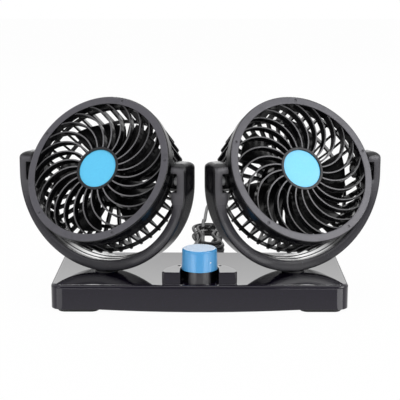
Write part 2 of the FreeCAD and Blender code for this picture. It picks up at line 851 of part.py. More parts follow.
def make_rear_cage(side, sign):
    body = new_body(f"{side}_rear_cage")
    flange_rear = f"({SKIRT_END} - flange_height)"
    collar_front = "ring_front - band_thick - flange_inset"
    collar = [
        (f"{COLLAR_OUT} - collar_thick", flange_rear),
        (RIB_START, flange_rear),
        (RIB_START, SKIRT_END),
        (COLLAR_OUT, SKIRT_END),
        (COLLAR_OUT, collar_front),
        (f"{COLLAR_OUT} - collar_thick", collar_front),
    ]
    revolve(body, outline(body, "XZ_Plane", collar))
    rib_end = "mid_hoop_radius - hoop_thick / 2"
    rib = [
        (RIB_START, RIB_TOP),
        (f"{RIB_START} - rib_thick", RIB_TOP),
        ("cage_rear_radius - rib_thick", f"{CAGE_BACK} + rib_thick"),
        (rib_end, f"{CAGE_BACK} + rib_thick"),
        (rib_end, CAGE_BACK),
        ("cage_rear_radius - corner_cut", CAGE_BACK),
        ("cage_rear_radius", CORNER_Z),
    ]
    polar(body, [pad(body, outline(body, "XZ_Plane", rib), "rib_width", symmetric=True)], "2 * rib_count")
    bar = [
        (f"{CUP_OUT} - cup_wall / 2", CAGE_BACK),
        ("mid_hoop_radius", CAGE_BACK),
        ("mid_hoop_radius", f"{CAGE_BACK} + rib_thick"),
        (f"{CUP_OUT} - cup_wall / 2", f"{CAGE_BACK} + rib_thick"),
    ]
    polar(body, [pad(body, outline(body, "XZ_Plane", bar), "rib_width", symmetric=True)], "rib_count")
    side_level = "(ring_front - hoop_back)"
    back_level = f"({CAGE_BACK} + hoop_inset)"
    for outside, level in (
        (f"({rib_radius(side_level)} - hoop_inset)", side_level),
        ("(cage_rear_radius - corner_cut)", back_level),
        ("(mid_hoop_radius + hoop_thick / 2)", back_level),
    ):
        revolve(body, outline(body, "XZ_Plane", hoop(outside, level)))
    cup_in = f"({CUP_OUT} - cup_wall)"
    neck_hole = "(motor_neck_radius + motor_gap)"
    cup = [
        (neck_hole, MOTOR_FACE),
        (neck_hole, "-cup_setback"),
        (CUP_OUT, "-cup_setback"),
        (CUP_OUT, f"{CAGE_BACK} + cup_plate"),
        ("cup_seat", f"{CAGE_BACK} + cup_plate"),
        ("cup_seat", CAGE_BACK),
        (cup_in, CAGE_BACK),
        (cup_in, MOTOR_FACE),
    ]
    revolve(body, outline(body, "XZ_Plane", cup))
    screws = new_sketch(body, "XY_Plane", "-cup_setback")
    for end in ("", "-"):
        add_circle(screws, "motor_screw_radius + run_fit", "0", f"{end}motor_screw_ring")
    pocket(body, screws, "cup_plate")
    for end in ("", "-"):
        inner = f"({BLOCK_IN} - pivot_gap - pivot_boss_length)"
        boss = circle(body, "YZ_Plane", "pivot_boss_radius", offset=end + inner)
        pad(body, boss, "pivot_boss_length", flip=bool(end))
    pocket(body, circle(body, "YZ_Plane", "pin_radius + run_fit"), f"2 * {BLOCK_IN}", symmetric=True)
    on_head(body, sign)


def make_motor(side, sign):
    motor = new_body(f"{side}_motor")
    bore = "motor_shaft_radius + run_fit"
    front = f"({MOTOR_FACE} + motor_neck_height)"
    can_rear = f"({MOTOR_FACE} - motor_length)"
    can = [
        (bore, front),
        (bore, f"{MOTOR_SHAFT_REAR} - run_fit"),
        ("0", f"{MOTOR_SHAFT_REAR} - run_fit"),
        ("0", MOTOR_REAR),
        ("motor_neck_radius", MOTOR_REAR),
        ("motor_neck_radius", can_rear),
        ("motor_radius - motor_round", can_rear, "motor_round", 1),
        ("motor_radius", f"{can_rear} + motor_round"),
        ("motor_radius", MOTOR_FACE),
        ("motor_neck_radius", MOTOR_FACE),
        ("motor_neck_radius", front),
    ]
    revolve(motor, outline(motor, "XZ_Plane", can))
    holes = new_sketch(motor, "XY_Plane", MOTOR_FACE)
    for end in ("", "-"):
        add_circle(holes, "motor_screw_radius", "0", f"{end}motor_screw_ring")
    pocket(motor, holes, "motor_screw_grip")
    on_head(motor, sign)

    screws = []
    for end, name in (("", "a"), ("-", "b")):
        head = cylinder(f"{side}_motor_screw_head_{name}", "motor_screw_head", "motor_screw_rise")
        grip = "(cup_plate + motor_screw_grip)"
        shank = cylinder(f"{side}_motor_screw_shank_{name}", "motor_screw_radius", grip)
        place(shank, z=f"-{grip}")
        screw = fuse(f"{side}_motor_screw_{name}", [head, shank])
        screws.append(place(screw, y=f"{end}motor_screw_ring", z="-cup_setback"))
    on_head(keep(compound(f"{side}_motor_screws", screws), f"{side}_motor_screws"), sign)

    cover = new_body(f"{side}_motor_cover")
    rear = f"({MOTOR_REAR} - cover_gap - cover_wall)"
    inside = "(cup_seat - cover_inset - cover_wall)"
    dome = [
        (inside, CAGE_BACK),
        (inside, f"{rear} + cover_round", "cover_round - cover_wall", -1),
        (f"{inside} - cover_round + cover_wall", f"{rear} + cover_wall"),
        ("0", f"{rear} + cover_wall"),
        ("0", rear),
        ("cup_seat - cover_inset - cover_round", rear, "cover_round", 1),
        ("cup_seat - cover_inset", f"{rear} + cover_round"),
        ("cup_seat - cover_inset", CAGE_BACK),
    ]
    revolve(cover, outline(cover, "XZ_Plane", dome))
    on_head(cover, sign)


# Propellers

BLADE_Z = f"(({PROP_FRONT} + {PROP_REAR}) / 2)"


def blade_section(body, radius, chord, pitch, sweep):
    """A thin bowed blade section on a plane square to the blade, at a radius from the shaft."""
    half_edge = "blade_edge / 2"
    corners = []
    for face, bow, turn in (
        ("-", "(blade_camber - blade_thick / 2 + blade_edge / 2)", -1),
        ("+", "(blade_camber + blade_thick / 2 - blade_edge / 2)", 1),
    ):
        arc = f"(({chord} * {chord} / 4 + {bow} * {bow}) / (2 * {bow}))"
        ends = []
        for end in ("-", "+"):
            along = f"({end} {chord} / 2)"
            y = f"{sweep} + {along} * cos({pitch}) - ({face} {half_edge}) * sin({pitch})"
            z = f"{BLADE_Z} + {along} * sin({pitch}) + ({face} {half_edge}) * cos({pitch})"
            ends.append((y, z))
        start, stop = ends if turn < 0 else ends[::-1]
        corners += [(*start, arc, turn), stop]
    return outline(body, "YZ_Plane", corners, radius)


def make_propeller(side, sign):
    body = new_body(f"{side}_propeller")
    inside = "(prop_hub_radius - prop_wall)"
    ceiling = f"({PROP_FRONT} - prop_wall)"
    hub = [
        ("motor_shaft_radius", PROP_REAR),
        ("motor_shaft_radius", ceiling),
        ("0", ceiling),
        ("0", PROP_FRONT),
        ("prop_hub_radius - prop_round", PROP_FRONT, "prop_round", -1),
        ("prop_hub_radius", f"{PROP_FRONT} - prop_round"),
        ("prop_hub_radius", PROP_REAR),
        (inside, PROP_REAR),
        (inside, ceiling),
        ("prop_boss_radius", ceiling),
        ("prop_boss_radius", PROP_REAR),
    ]
    revolve(body, outline(body, "XZ_Plane", hub))
    sections = [
        blade_section(body, "prop_hub_radius - root_sink", "root_chord", "root_pitch", "0"),
        blade_section(body, "mid_radius", "mid_chord", "mid_pitch", "mid_sweep"),
        blade_section(body, f"{PROP_TIP} + {PAST}", "tip_chord", "tip_pitch", "tip_sweep"),
    ]
    blade = body.newObject("PartDesign::AdditiveLoft", "Blade")
    blade.Profile = sections[0]
    blade.Sections = sections[1:]
    doc.recompute()
    polar(body, [blade], "blade_count")
    sweep_room = [
        (f"-{PROP_TIP}", f"{BLADE_Z} - tip_chord / 2"),
        (f"-({PROP_TIP} + tip_chord)", f"{BLADE_Z} - tip_chord / 2"),
        (f"-({PROP_TIP} + tip_chord)", f"{BLADE_Z} + tip_chord / 2"),
        (f"-{PROP_TIP}", f"{BLADE_Z} + tip_chord / 2"),
    ]
    trim = outline(body, "XZ_Plane", sweep_room)
    groove = body.newObject("PartDesign::Groove", "TipTrim")
    groove.Profile = trim
    groove.ReferenceAxis = (trim, ["V_Axis"])
    groove.Angle = 360
    doc.recompute()
    on_head(body, sign, f"{side}_blade_turn")

    shaft = new_body(f"{side}_motor_shaft")
    length = f"{PROP_FRONT} - prop_wall - {MOTOR_SHAFT_REAR}"
    pad(shaft, circle(shaft, "XY_Plane", "motor_shaft_radius", offset=MOTOR_SHAFT_REAR), length)
    on_head(shaft, sign)


# Cord, hank and plug

LOOPS_DEEP = 3
LAST_RUN = 10


def make_strain_relief():
    body = new_body("strain_relief")
    flange_in = "(-wall_thick - relief_flange_thick)"
    profile = [
        ("0", flange_in),
        ("relief_flange_radius", flange_in),
        ("relief_flange_radius", "-wall_thick"),
        ("relief_radius", "-wall_thick"),
        ("relief_radius", "0"),
        ("relief_flange_radius", "0"),
        ("relief_flange_radius", "relief_flange_thick"),
        ("relief_radius", "relief_flange_thick"),
        ("relief_end_radius", "relief_length"),
        ("0", "relief_length"),
    ]
    revolve(body, outline(body, "XZ_Plane", profile))
    place(body, y="base_depth / 2", z="relief_height", tip="-90")


def tube(label, edges):
    """A cord along a smooth path, its volume compared with its section times its length."""
    wire = Part.Wire(edges)
    first = wire.Edges[0]
    start = first.valueAt(first.FirstParameter)
    heading = first.tangentAt(first.FirstParameter)
    radius = number("cord_radius")
    sweep = Part.BRepOffsetAPI.MakePipeShell(wire)
    sweep.add(Part.Wire(Part.Circle(start, heading, radius).toShape()))
    sweep.build()
    sweep.makeSolid()
    solid = sweep.shape()
    share = solid.Volume / (math.pi * radius**2 * wire.Length)
    print(f"{label}: length {wire.Length:.0f} mm, volume {share:.4f} of section times length")
    thing = doc.addObject("Part::Feature", label)
    thing.Shape = solid
    thing.Placement = FreeCAD.Placement()
    return keep(thing, label)


def rounded_route(label, points):
    """Straight runs joined by tangent arcs, each as large as its two runs allow."""
    edges = []
    at = points[0]
    radii = []
    for before, corner, after in zip(points, points[1:], points[2:]):
        arriving, leaving = corner - before, after - corner
        setback = 0.45 * min(arriving.Length, leaving.Length)
        turn = arriving.getAngle(leaving)
        radii.append(setback / math.tan(turn / 2))
        back = Vector(arriving).normalize() * -setback
        ahead = Vector(leaving).normalize() * setback
        into, out = corner + back, corner + ahead
        inward = (back + ahead).normalize()
        nearest = radii[-1] / math.cos(turn / 2) - radii[-1]
        edges.append(Part.LineSegment(at, into).toShape())
        edges.append(Part.Arc(into, corner + inward * nearest, out).toShape())
        at = out
    edges.append(Part.LineSegment(at, points[-1]).toShape())
    print(f"{label}: bend radii", ", ".join(f"{r:.0f}" for r in radii))
    return edges


def biarc(start, heading, stop, leaving):
    """Two tangent arcs from one point and direction to another, or a straight line where they agree."""
    gap = stop - start
    if gap.getAngle(heading) < 1e-6 and heading.getAngle(leaving) < 1e-6:
        return [Part.LineSegment(start, stop).toShape()]
    both = heading + leaving
    spread = 2 * (1 - heading.dot(leaving))
    if spread < 1e-9:
        reach = gap.dot(gap) / (4 * gap.dot(heading))
    else:
        along = gap.dot(both)
        reach = (math.sqrt(along**2 + spread * gap.dot(gap)) - along) / spread
    middle = (start + heading * reach + stop - leaving * reach) * 0.5
    return [tangent_arc(start, heading, middle), tangent_arc(stop, leaving * -1, middle, back=True)]


def tangent_arc(start, heading, stop, back=False):
    """The arc from a point along a heading to another point."""
    chord = stop - start
    normal = heading.cross(chord).cross(heading).normalize()
    radius = chord.dot(chord) / (2 * chord.dot(normal))
    centre = start + normal * radius
    half = math.atan2(chord.dot(normal), chord.dot(heading))
    through = centre + heading * (radius * math.sin(half)) - normal * (radius * math.cos(half))
    ends = (stop, through, start) if back else (start, through, stop)
    return Part.Arc(*ends).toShape()


def hank_stops():
    """Points and headings along the loops. Runs along Y alternate between two sides, step in to the
    innermost loop and out again, and climb a layer along each run where the stepping turns back. Every run
    is drawn in at the waist."""
    step, layer, draw = number("loop_step"), number("layer_step"), number("waist_draw")
    run, waist_x, waist_y = number("hank_run"), number("hank_x"), number("hank_y")
    outermost = number("fold_radius") + (2 * LOOPS_DEEP - 1) / 4 * step
    floor = number("tie_thick + tie_gap + cord_radius")
    lead_in = number("2 * cord_radius")
    tail_out = number("tie_width / 2 + 4 * cord_radius")
    stops = []
    for i in range(LAST_RUN + 1):
        side, heading = (-1, Vector(0, 1, 0)) if i % 2 == 0 else (1, Vector(0, -1, 0))
        depth = i % (2 * LOOPS_DEEP)
        reach = outermost - min(depth, 2 * LOOPS_DEEP - depth) * step / 2
        low = floor + layer * max(0, math.ceil(i / LOOPS_DEEP) - 1)
        high = floor + layer * (i // LOOPS_DEEP)
        begin = Vector(waist_x + side * reach, waist_y - heading.y * run / 2, low)
        middle = Vector(waist_x + side * (reach - draw), waist_y, (low + high) / 2)
        finish = Vector(waist_x + side * reach, waist_y + heading.y * run / 2, high)
        if i == 0:
            stops.append((begin - heading * lead_in, heading))
        if i == LAST_RUN:
            finish = middle + heading * tail_out
        stops += [(begin, heading), (middle, heading), (finish, heading)]
    return stops


def least_gap(wire):
    """The least distance between the surfaces of two turns, measured on points along the path."""
    spacing = number("cord_radius") / 2
    points = wire.discretize(Distance=spacing)
    apart = int(number("fold_radius") * 2 / spacing)
    least = min(
        points[i].distanceToPoint(points[j])
        for i in range(len(points))
        for j in range(i + apart, len(points))
    )
    return least - number("2 * cord_radius")


def make_hank_tie():
    """The band round the waist, with its twisted end standing out on one side."""
    body = new_body("hank_tie")
    deep, draw = LOOPS_DEEP, "waist_draw"
    outermost = f"(fold_radius + {2 * deep - 1} / 4 * loop_step)"
    left = f"(-({outermost} - {draw}) - cord_radius - tie_gap)"
    right = f"({outermost} - loop_step / 2 - {draw} + cord_radius + tie_gap)"
    top = f"(tie_thick + {deep} * layer_step + 2 * cord_radius + 2 * tie_gap)"
    sketch = new_sketch(body, "XZ_Plane")
    for grow_by in ("tie_thick", "0"):
        low_round = f"(tie_foot_round + {grow_by})"
        top_round = f"(tie_top_round + {grow_by})"
        west, east = f"({left} - {grow_by})", f"({right} + {grow_by})"
        south, north = f"(tie_thick - {grow_by})", f"({top} + {grow_by})"
        corners = [
            (f"{west} + {low_round}", south),
            (f"{east} - {low_round}", south, low_round, 1),
            (east, f"{south} + {low_round}"),
            (east, f"{north} - {top_round}", top_round, 1),
            (f"{east} - {top_round}", north),
            (f"{west} + {top_round}", north, top_round, 1),
            (west, f"{north} - {top_round}"),
            (west, f"{south} + {low_round}", low_round, 1),
        ]
        add_outline(sketch, corners)
    pad(body, sketch, "tie_width", symmetric=True)
    twist = [
        (f"{left} - tie_thick / 2", f"{top} / 2"),
        (f"{left} - tie_thick / 2", f"{top} / 2 + tie_thick"),
        (f"{left} - tie_tail", f"{top} / 2 + tie_tail / 2 + tie_thick"),
        (f"{left} - tie_tail", f"{top} / 2 + tie_tail / 2"),
    ]
    pad(body, outline(body, "XZ_Plane", twist), "tie_width", symmetric=True)
    place(body, "hank_x", "hank_y")


def make_cord():
    stops = hank_stops()
    exit_point = Vector(0, number("base_depth / 2 + relief_length"), number("relief_height"))
    lead = [exit_point, Vector(0, 72.5, 9), Vector(-3.2, 85, 4.2), Vector(-6.7, 95.5, 2.6), stops[0][0]]
    tube("cord_lead", rounded_route("cord_lead", lead))
    edges = []
    for (start, heading), (stop, leaving) in zip(stops, stops[1:]):
        edges += biarc(start, heading, stop, leaving)
    tube("cord_hank", edges)
    print(f"cord_hank: least gap between turns {least_gap(Part.Wire(edges)):.2f} mm")
    make_hank_tie()
    aim = math.radians(number("plug_turn"))
    plug_axis = Vector(-math.sin(aim), math.cos(aim), 0)
    plug_end = Vector(number("plug_x"), number("plug_y"), number("plug_radius"))
    tail = [
        stops[-1][0],
        Vector(2.0, 166, 13.1),
        Vector(2.3, 188, 13.2),
        Vector(2.9, 211, 7.0),
        Vector(3.4, 234, 1.7),
        Vector(4.2, 262, 1.5),
        Vector(6, 306, 1.5),
        Vector(14, 338, 1.5),
        Vector(30, 360, 2.0),
        Vector(44.5, 376, 6.5),
        plug_end - plug_axis * 12,
        plug_end,
    ]
    tube("cord_tail", rounded_route("cord_tail", tail))


GRIP_END = "(plug_boot_length + plug_shoulder + plug_grip_length)"
NOSE_END = f"({GRIP_END} + nose_length)"


def on_plug(thing):
    return place(thing, "plug_x", "plug_y", "plug_radius", "plug_turn", "-90")


def make_plug():
    body = new_body("plug_body")
    grip = [
        ("0", "0"),
        ("plug_boot_radius", "0"),
        ("plug_boot_end", "plug_boot_length"),
        ("plug_radius", "plug_boot_length + plug_shoulder"),
        ("plug_radius", GRIP_END),
        ("0", GRIP_END),
    ]
    revolve(body, outline(body, "XZ_Plane", grip))
    on_plug(body)

    nose = new_body("plug_nose")
    barrel = [
        ("0", GRIP_END),
        ("nose_radius", GRIP_END),
        ("nose_radius", f"{NOSE_END} - nose_round", "nose_round", 1),
        ("nose_radius - nose_round", NOSE_END),
        ("0", NOSE_END),
    ]
    revolve(nose, outline(nose, "XZ_Plane", barrel))
    slot_start = f"({GRIP_END} + spring_margin - spring_clear)"
    slot_end = f"({NOSE_END} - spring_margin + spring_clear)"
    slots = new_sketch(nose, "XZ_Plane")
    for end in ("", "-"):
        floor = f"{end}(nose_radius - spring_slot)"
        outside = f"{end}(nose_radius + {PAST})"
        slot = [(floor, slot_start), (outside, slot_start), (outside, slot_end), (floor, slot_end)]
        add_outline(slots, slot)
    pocket(nose, slots, "spring_width + 2 * spring_clear", symmetric=True)
    on_plug(nose)

    tip = new_body("plug_tip")
    stud = [
        ("0", NOSE_END),
        ("plug_tip_radius", NOSE_END),
        ("plug_tip_radius", f"{NOSE_END} + plug_tip_length - plug_tip_radius", "plug_tip_radius", 1),
        ("0", f"{NOSE_END} + plug_tip_length"),
    ]
    revolve(tip, outline(tip, "XZ_Plane", stud))
    on_plug(tip)

    springs = new_body("plug_springs")
    leaves = new_sketch(springs, "XZ_Plane")
    chord = "(nose_length - 2 * spring_margin)"
    bow = f"(({chord} * {chord} / 4 + spring_bow * spring_bow) / (2 * spring_bow))"
    low, high = f"{GRIP_END} + spring_margin", f"{NOSE_END} - spring_margin"
    for end, turn in (("", 1), ("-", -1)):
        foot = f"{end}(nose_radius - spring_slot)"
        back = f"{end}(nose_radius - spring_slot + spring_thick)"
        leaf = [(foot, low), (back, low, bow, turn), (back, high), (foot, high, bow, -turn)]
        add_outline(leaves, leaf)
    feature = springs.newObject("PartDesign::Pad", "Leaves")
    springs.AllowCompound = True
    feature.Profile = leaves
    feature.SideType = "Symmetric"
    bind(feature, Length="spring_width")
    on_plug(springs)


def check(thing):
    """Stop where a finished sub-part is missing, broken or not closed."""
    if thing.Shape.isNull() or not thing.Shape.isValid() or not thing.Shape.Solids:
        raise ValueError(f"{thing.Label} has no good shape")


make_base_cover()
make_base_plate()
make_feet()
make_base_screws()
make_knob()
make_switch()
for side, sign in (("left", "-"), ("right", "")):
    make_yoke(side, sign)
    make_swivel(side, sign)
    make_tilt_pins(side, sign)
    make_front_grille(side, sign)
    make_rear_cage(side, sign)
    make_motor(side, sign)
    make_propeller(side, sign)
make_strain_relief()
make_cord()
make_plug()
doc.recompute()

for thing in doc.Objects:
    if "Invalid" in thing.State or "Error" in thing.State:
        raise ValueError(f"{thing.Label} failed: {thing.State}")
for thing in subparts:
    check(thing)
os.makedirs("parts", exist_ok=True)
for thing in subparts:
    thing.Shape.exportStep(f"parts/{thing.Label}.step")
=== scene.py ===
"""Dual head car fan: finishes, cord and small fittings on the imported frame."""
import json
import math

import bpy
import numpy as np
from bpy.props import FloatProperty, FloatVectorProperty, PointerProperty
from bpy.types import Operator, Panel, PropertyGroup
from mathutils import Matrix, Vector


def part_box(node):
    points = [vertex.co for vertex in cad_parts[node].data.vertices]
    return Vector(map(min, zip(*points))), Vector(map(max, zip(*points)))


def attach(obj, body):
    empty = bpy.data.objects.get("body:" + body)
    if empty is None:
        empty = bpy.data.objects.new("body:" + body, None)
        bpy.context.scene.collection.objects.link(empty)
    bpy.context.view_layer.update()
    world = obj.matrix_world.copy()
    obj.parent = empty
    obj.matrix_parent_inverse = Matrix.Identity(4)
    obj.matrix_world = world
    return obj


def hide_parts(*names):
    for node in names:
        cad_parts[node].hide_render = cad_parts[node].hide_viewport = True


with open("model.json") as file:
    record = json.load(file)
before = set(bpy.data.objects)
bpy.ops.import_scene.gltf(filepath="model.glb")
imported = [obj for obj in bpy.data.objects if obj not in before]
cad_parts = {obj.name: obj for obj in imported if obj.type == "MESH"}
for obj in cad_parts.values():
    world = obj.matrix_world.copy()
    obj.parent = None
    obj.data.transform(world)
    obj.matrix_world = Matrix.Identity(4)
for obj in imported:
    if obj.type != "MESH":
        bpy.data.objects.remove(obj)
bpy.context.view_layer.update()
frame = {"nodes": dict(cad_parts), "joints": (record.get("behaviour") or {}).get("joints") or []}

bl_info = {
    "name": "Dual head car fan",
    "version": (1, 0, 0),
    "blender": (4, 5, 0),
    "location": "View3D > Sidebar > Car fan",
    "description": "Finishes, cord and fittings of a two-headed car fan",
    "category": "Object",
}

SIDES = ("left", "right")
JOINTS = {joint["name"]: joint for joint in frame["joints"]}
UP = (0.0, 0.0, 1.0)
TOWARDS_USER = (0.0, -1.0, 0.0)


def tint(label, words, value):
    """A colour property in linear values."""
    return FloatVectorProperty(
        name=label, description=words, subtype="COLOR", size=3, min=0, max=1, default=value
    )


def span(label, words, value):
    """A length property in metres."""
    return FloatProperty(name=label, description=words, unit="LENGTH", default=value, min=0)


def lamp_level(label, words, value):
    """A property for the strength or power of a light."""
    return FloatProperty(name=label, description=words, default=value, min=0)


class FanColours(PropertyGroup):
    """Colours of the fan's finishes"""

    gloss: tint("Gloss black", "Base cover", (0.0070, 0.0048, 0.0130))
    yoke: tint("Yoke black", "Yokes", (0.0370, 0.0356, 0.0430))
    collar: tint("Collar grey", "Front of the collar under the knob", (0.050, 0.048, 0.053))
    # Block grey is partly the satin blocks' own tone and partly a painted highlight on their fronts.
    block: tint("Block grey", "Satin blocks round the pins", (0.088, 0.085, 0.094))
    pin: tint("Pin grey", "Tilt pins", (0.42, 0.42, 0.43))
    ring: tint("Ring grey", "Front rings", (0.094, 0.091, 0.105))
    # Spoke grey is a painted highlight: the spokes' front edges are painted lighter than the ring to stand
    # in for their glint.
    spoke_highlight: tint("Spoke grey", "Front edges of the spokes", (0.170, 0.166, 0.175))
    cage: tint("Cage black", "Rear cages and motor cups", (0.0050, 0.0050, 0.0060))
    blade: tint("Blade black", "Propellers", (0.0035, 0.0035, 0.0040))
    plate: tint("Plate black", "Base plate", (0.020, 0.020, 0.021))
    rubber: tint("Foot rubber", "Pads under the base", (0.022, 0.022, 0.022))
    disc: tint("Disc blue", "Discs in the grilles", (0.12, 0.61, 1.0))
    knob: tint("Knob blue", "Speed knob", (0.092, 0.385, 0.76))
    # The white dot on the knob is a painted highlight, a glint on the knob's side.
    dot: tint("Dot white", "Mark on the knob", (0.80, 0.86, 0.90))
    jacket: tint("Cord jacket", "Cord and strain relief", (0.010, 0.010, 0.012))
    tie: tint("Tie black", "Wire tie round the hank", (0.006, 0.006, 0.007))
    steel: tint("Zinc steel", "Screws, posts and nuts", (0.55, 0.55, 0.56))
    nickel: tint("Nickel", "Plug contacts", (0.66, 0.63, 0.58))
    washer: tint("Washer grey", "Friction washers", (0.03, 0.03, 0.03))


class FanSizes(PropertyGroup):
    """Sizes of the pieces made here"""

    cord: span("Cord diameter", "Outside of the jacket", 0.003)
    tie_width: span("Tie width", "Flat width of the wire tie", 0.0034)
    tie_thick: span("Tie thickness", "Thickness of the wire tie", 0.0009)
    ridge: span("Ridge width", "Width of the ridges inside a yoke", 0.0010)
    flute: span("Flute depth", "Depth of the flutes on the plug's grip", 0.0009)
    groove: span("Groove depth", "Depth of the grooves on the strain relief", 0.0006)
    # Size of the painted glint on the knob.
    dot: span("Dot radius", "Radius of the mark on the knob", 0.0005)


class FanStage(PropertyGroup):
    """Camera and light"""

    camera: FloatVectorProperty(
        name="Camera", description="Place of the camera", subtype="TRANSLATION",
        unit="LENGTH", size=3, default=(0.0044, -0.8175, 0.2434),
    )
    pitch: FloatProperty(
        name="Pitch", description="Camera's tilt below level", subtype="ANGLE",
        default=math.radians(11.9),
    )
    turn: FloatProperty(
        name="Turn", description="Camera's turn to the left", subtype="ANGLE",
        default=math.radians(0.3),
    )
    lens: FloatProperty(
        name="Lens", description="Focal length on a 36 mm sensor, in millimetres", default=102.8
    )
    floor: span("Floor", "Side of the floor", 8.0)
    ambient: lamp_level("Ambient", "Strength of the even light from all round", 0.52)
    front: lamp_level("Front", "Brightness of the room in front, as reflections show it", 0.30)
    card: lamp_level("Cards", "Strength of the two cards that the knob mirrors", 3.6)
    corner_left: lamp_level("Left corner", "Strength of the card at the base's left corner", 1.3)
    corner_right: lamp_level("Right corner", "Strength of the card at the base's right corner", 2.7)
    sheen: lamp_level("Sheen", "Strength of the card that the right head mirrors", 4.8)
    key: lamp_level("Key light", "Power of the overhead soft box", 9.0)
    back: lamp_level("Back light", "Power of the soft box behind", 4.0)
    left: lamp_level("Left light", "Power of the left soft box", 0.60)
    right: lamp_level("Right light", "Power of the right soft box", 0.85)


def colours():
    """The scene's colours of the finishes."""
    return bpy.context.scene.fan_colours


def sizes():
    """The scene's sizes of the pieces made here."""
    return bpy.context.scene.fan_sizes


def stage_values():
    """The scene's values of the camera and the lights."""
    return bpy.context.scene.fan_stage


def fill(tree, socket, value):
    """Links an output to a socket, or sets a plain value on it."""
    if isinstance(value, bpy.types.NodeSocket):
        tree.links.new(value, socket)
    else:
        socket.default_value = value


def placed(tree, kind):
    """Output of a texture coordinate of the given kind."""
    return tree.nodes.new("ShaderNodeTexCoord").outputs[kind]


def one_axis(tree, source, axis):
    """The X, Y or Z part of a vector output."""
    axes = tree.nodes.new("ShaderNodeSeparateXYZ")
    tree.links.new(source, axes.inputs["Vector"])
    return axes.outputs[axis]


def combined(tree, operation, first, second):
    """Output of a product or the larger of two values, each an output or a number."""
    node = tree.nodes.new("ShaderNodeMath")
    node.operation = operation
    fill(tree, node.inputs[0], first)
    fill(tree, node.inputs[1], second)
    return node.outputs[0]


def vectors(tree, operation, source, other=(0.0, 0.0, 0.0)):
    """Outputs of an operation on a vector output and a fixed vector."""
    node = tree.nodes.new("ShaderNodeVectorMath")
    node.operation = operation
    tree.links.new(source, node.inputs[0])
    node.inputs[1].default_value = other
    return node.outputs


def ranged(tree, source, start, stop, low, high):
    """Output that runs from low to high as the source runs from start to stop."""
    ramp = tree.nodes.new("ShaderNodeMapRange")
    values = {"Value": source, "From Min": start, "From Max": stop, "To Min": low, "To Max": high}
    for socket, value in values.items():
        fill(tree, ramp.inputs[socket], value)
    return ramp.outputs["Result"]


def shader_of(finish):
    """The material's surface shader."""
    return finish.node_tree.nodes["Principled BSDF"]


def new_finish(name, colour, roughness, **sockets):
    """A material whose constant values stand on the shader's own sockets."""
    finish = bpy.data.materials.new(name)
    finish.use_nodes = True
    shader = shader_of(finish)
    shader.inputs["Base Color"].default_value = (*colour, 1.0)
    shader.inputs["Roughness"].default_value = roughness
    for socket, value in sockets.items():
        shader.inputs[socket.replace("_", " ")].default_value = value
    return finish


def noise(finish, scale, detail=2.0, stretch=(1.0, 1.0, 1.0)):
    """Output of a noise on Object coordinates, with scale in cells per metre."""
    tree = finish.node_tree
    turn = tree.nodes.new("ShaderNodeMapping")
    turn.inputs["Scale"].default_value = stretch
    cloud = tree.nodes.new("ShaderNodeTexNoise")
    cloud.inputs["Scale"].default_value = scale
    cloud.inputs["Detail"].default_value = detail
    tree.links.new(placed(tree, "Object"), turn.inputs["Vector"])
    tree.links.new(turn.outputs["Vector"], cloud.inputs["Vector"])
    return cloud.outputs["Fac"]


def mapped(finish, source, low, high, start=0.3, stop=0.7):
    """The source spread from start..stop to low..high."""
    return ranged(finish.node_tree, source, start, stop, low, high)


def facing(finish, axis, start, stop):
    """One where the surface faces an axis fixed in the piece, and nought where it turns away."""
    tree = finish.node_tree
    along = vectors(tree, "DOT_PRODUCT", placed(tree, "Normal"), axis)["Value"]
    return ranged(tree, along, start, stop, 0.0, 1.0)


def reach(finish, point, axis):
    """Distance of the surface from an axis fixed in the piece: the length of (place - point) x axis."""
    tree = finish.node_tree
    away = vectors(tree, "SUBTRACT", placed(tree, "Object"), point)["Vector"]
    square = vectors(tree, "CROSS_PRODUCT", away, axis)["Vector"]
    return vectors(tree, "LENGTH", square)["Value"]


def both(finish, first, second):
    """Product of two outputs."""
    return combined(finish.node_tree, "MULTIPLY", first, second)


def vary_roughness(finish, source, low, high, start=0.3, stop=0.7):
    """Roughness from low to high as the source runs from start to stop."""
    grade = mapped(finish, source, low, high, start, stop)
    finish.node_tree.links.new(grade, shader_of(finish).inputs["Roughness"])


def mixed(finish, factor, first, second):
    """Output of a mix by a factor from nought to one, each side a tint or an output."""
    tree = finish.node_tree
    mix = tree.nodes.new("ShaderNodeMix")
    mix.data_type = "RGBA"
    sides = [socket for socket in mix.inputs if socket.type == "RGBA"]
    for socket, value in zip(sides, (first, second)):
        fill(tree, socket, value if isinstance(value, bpy.types.NodeSocket) else (*value, 1.0))
    tree.links.new(factor, mix.inputs["Factor"])
    return next(socket for socket in mix.outputs if socket.type == "RGBA")


def paint(finish, colour):
    """Links an output to the surface's colour."""
    finish.node_tree.links.new(colour, shader_of(finish).inputs["Base Color"])


def painted(finish):
    """The output that gives the surface its colour so far."""
    return shader_of(finish).inputs["Base Color"].links[0].from_socket


def speckled(finish, source, first, second, start=0.35, stop=0.65):
    """Output between two tints by the source."""
    return mixed(finish, mapped(finish, source, 0.0, 1.0, start, stop), first, second)


EDGE_SAMPLES = 6


def roughen(finish, source, depth, edge=0.0):
    """Bump of the given depth in metres, over edges rounded in the shading by the given radius."""
    tree = finish.node_tree
    bump = tree.nodes.new("ShaderNodeBump")
    bump.inputs["Distance"].default_value = depth
    tree.links.new(source, bump.inputs["Height"])
    if edge:
        soft = tree.nodes.new("ShaderNodeBevel")
        soft.samples = EDGE_SAMPLES
        soft.inputs["Radius"].default_value = edge
        tree.links.new(soft.outputs["Normal"], bump.inputs["Normal"])
    tree.links.new(bump.outputs["Normal"], shader_of(finish).inputs["Normal"])


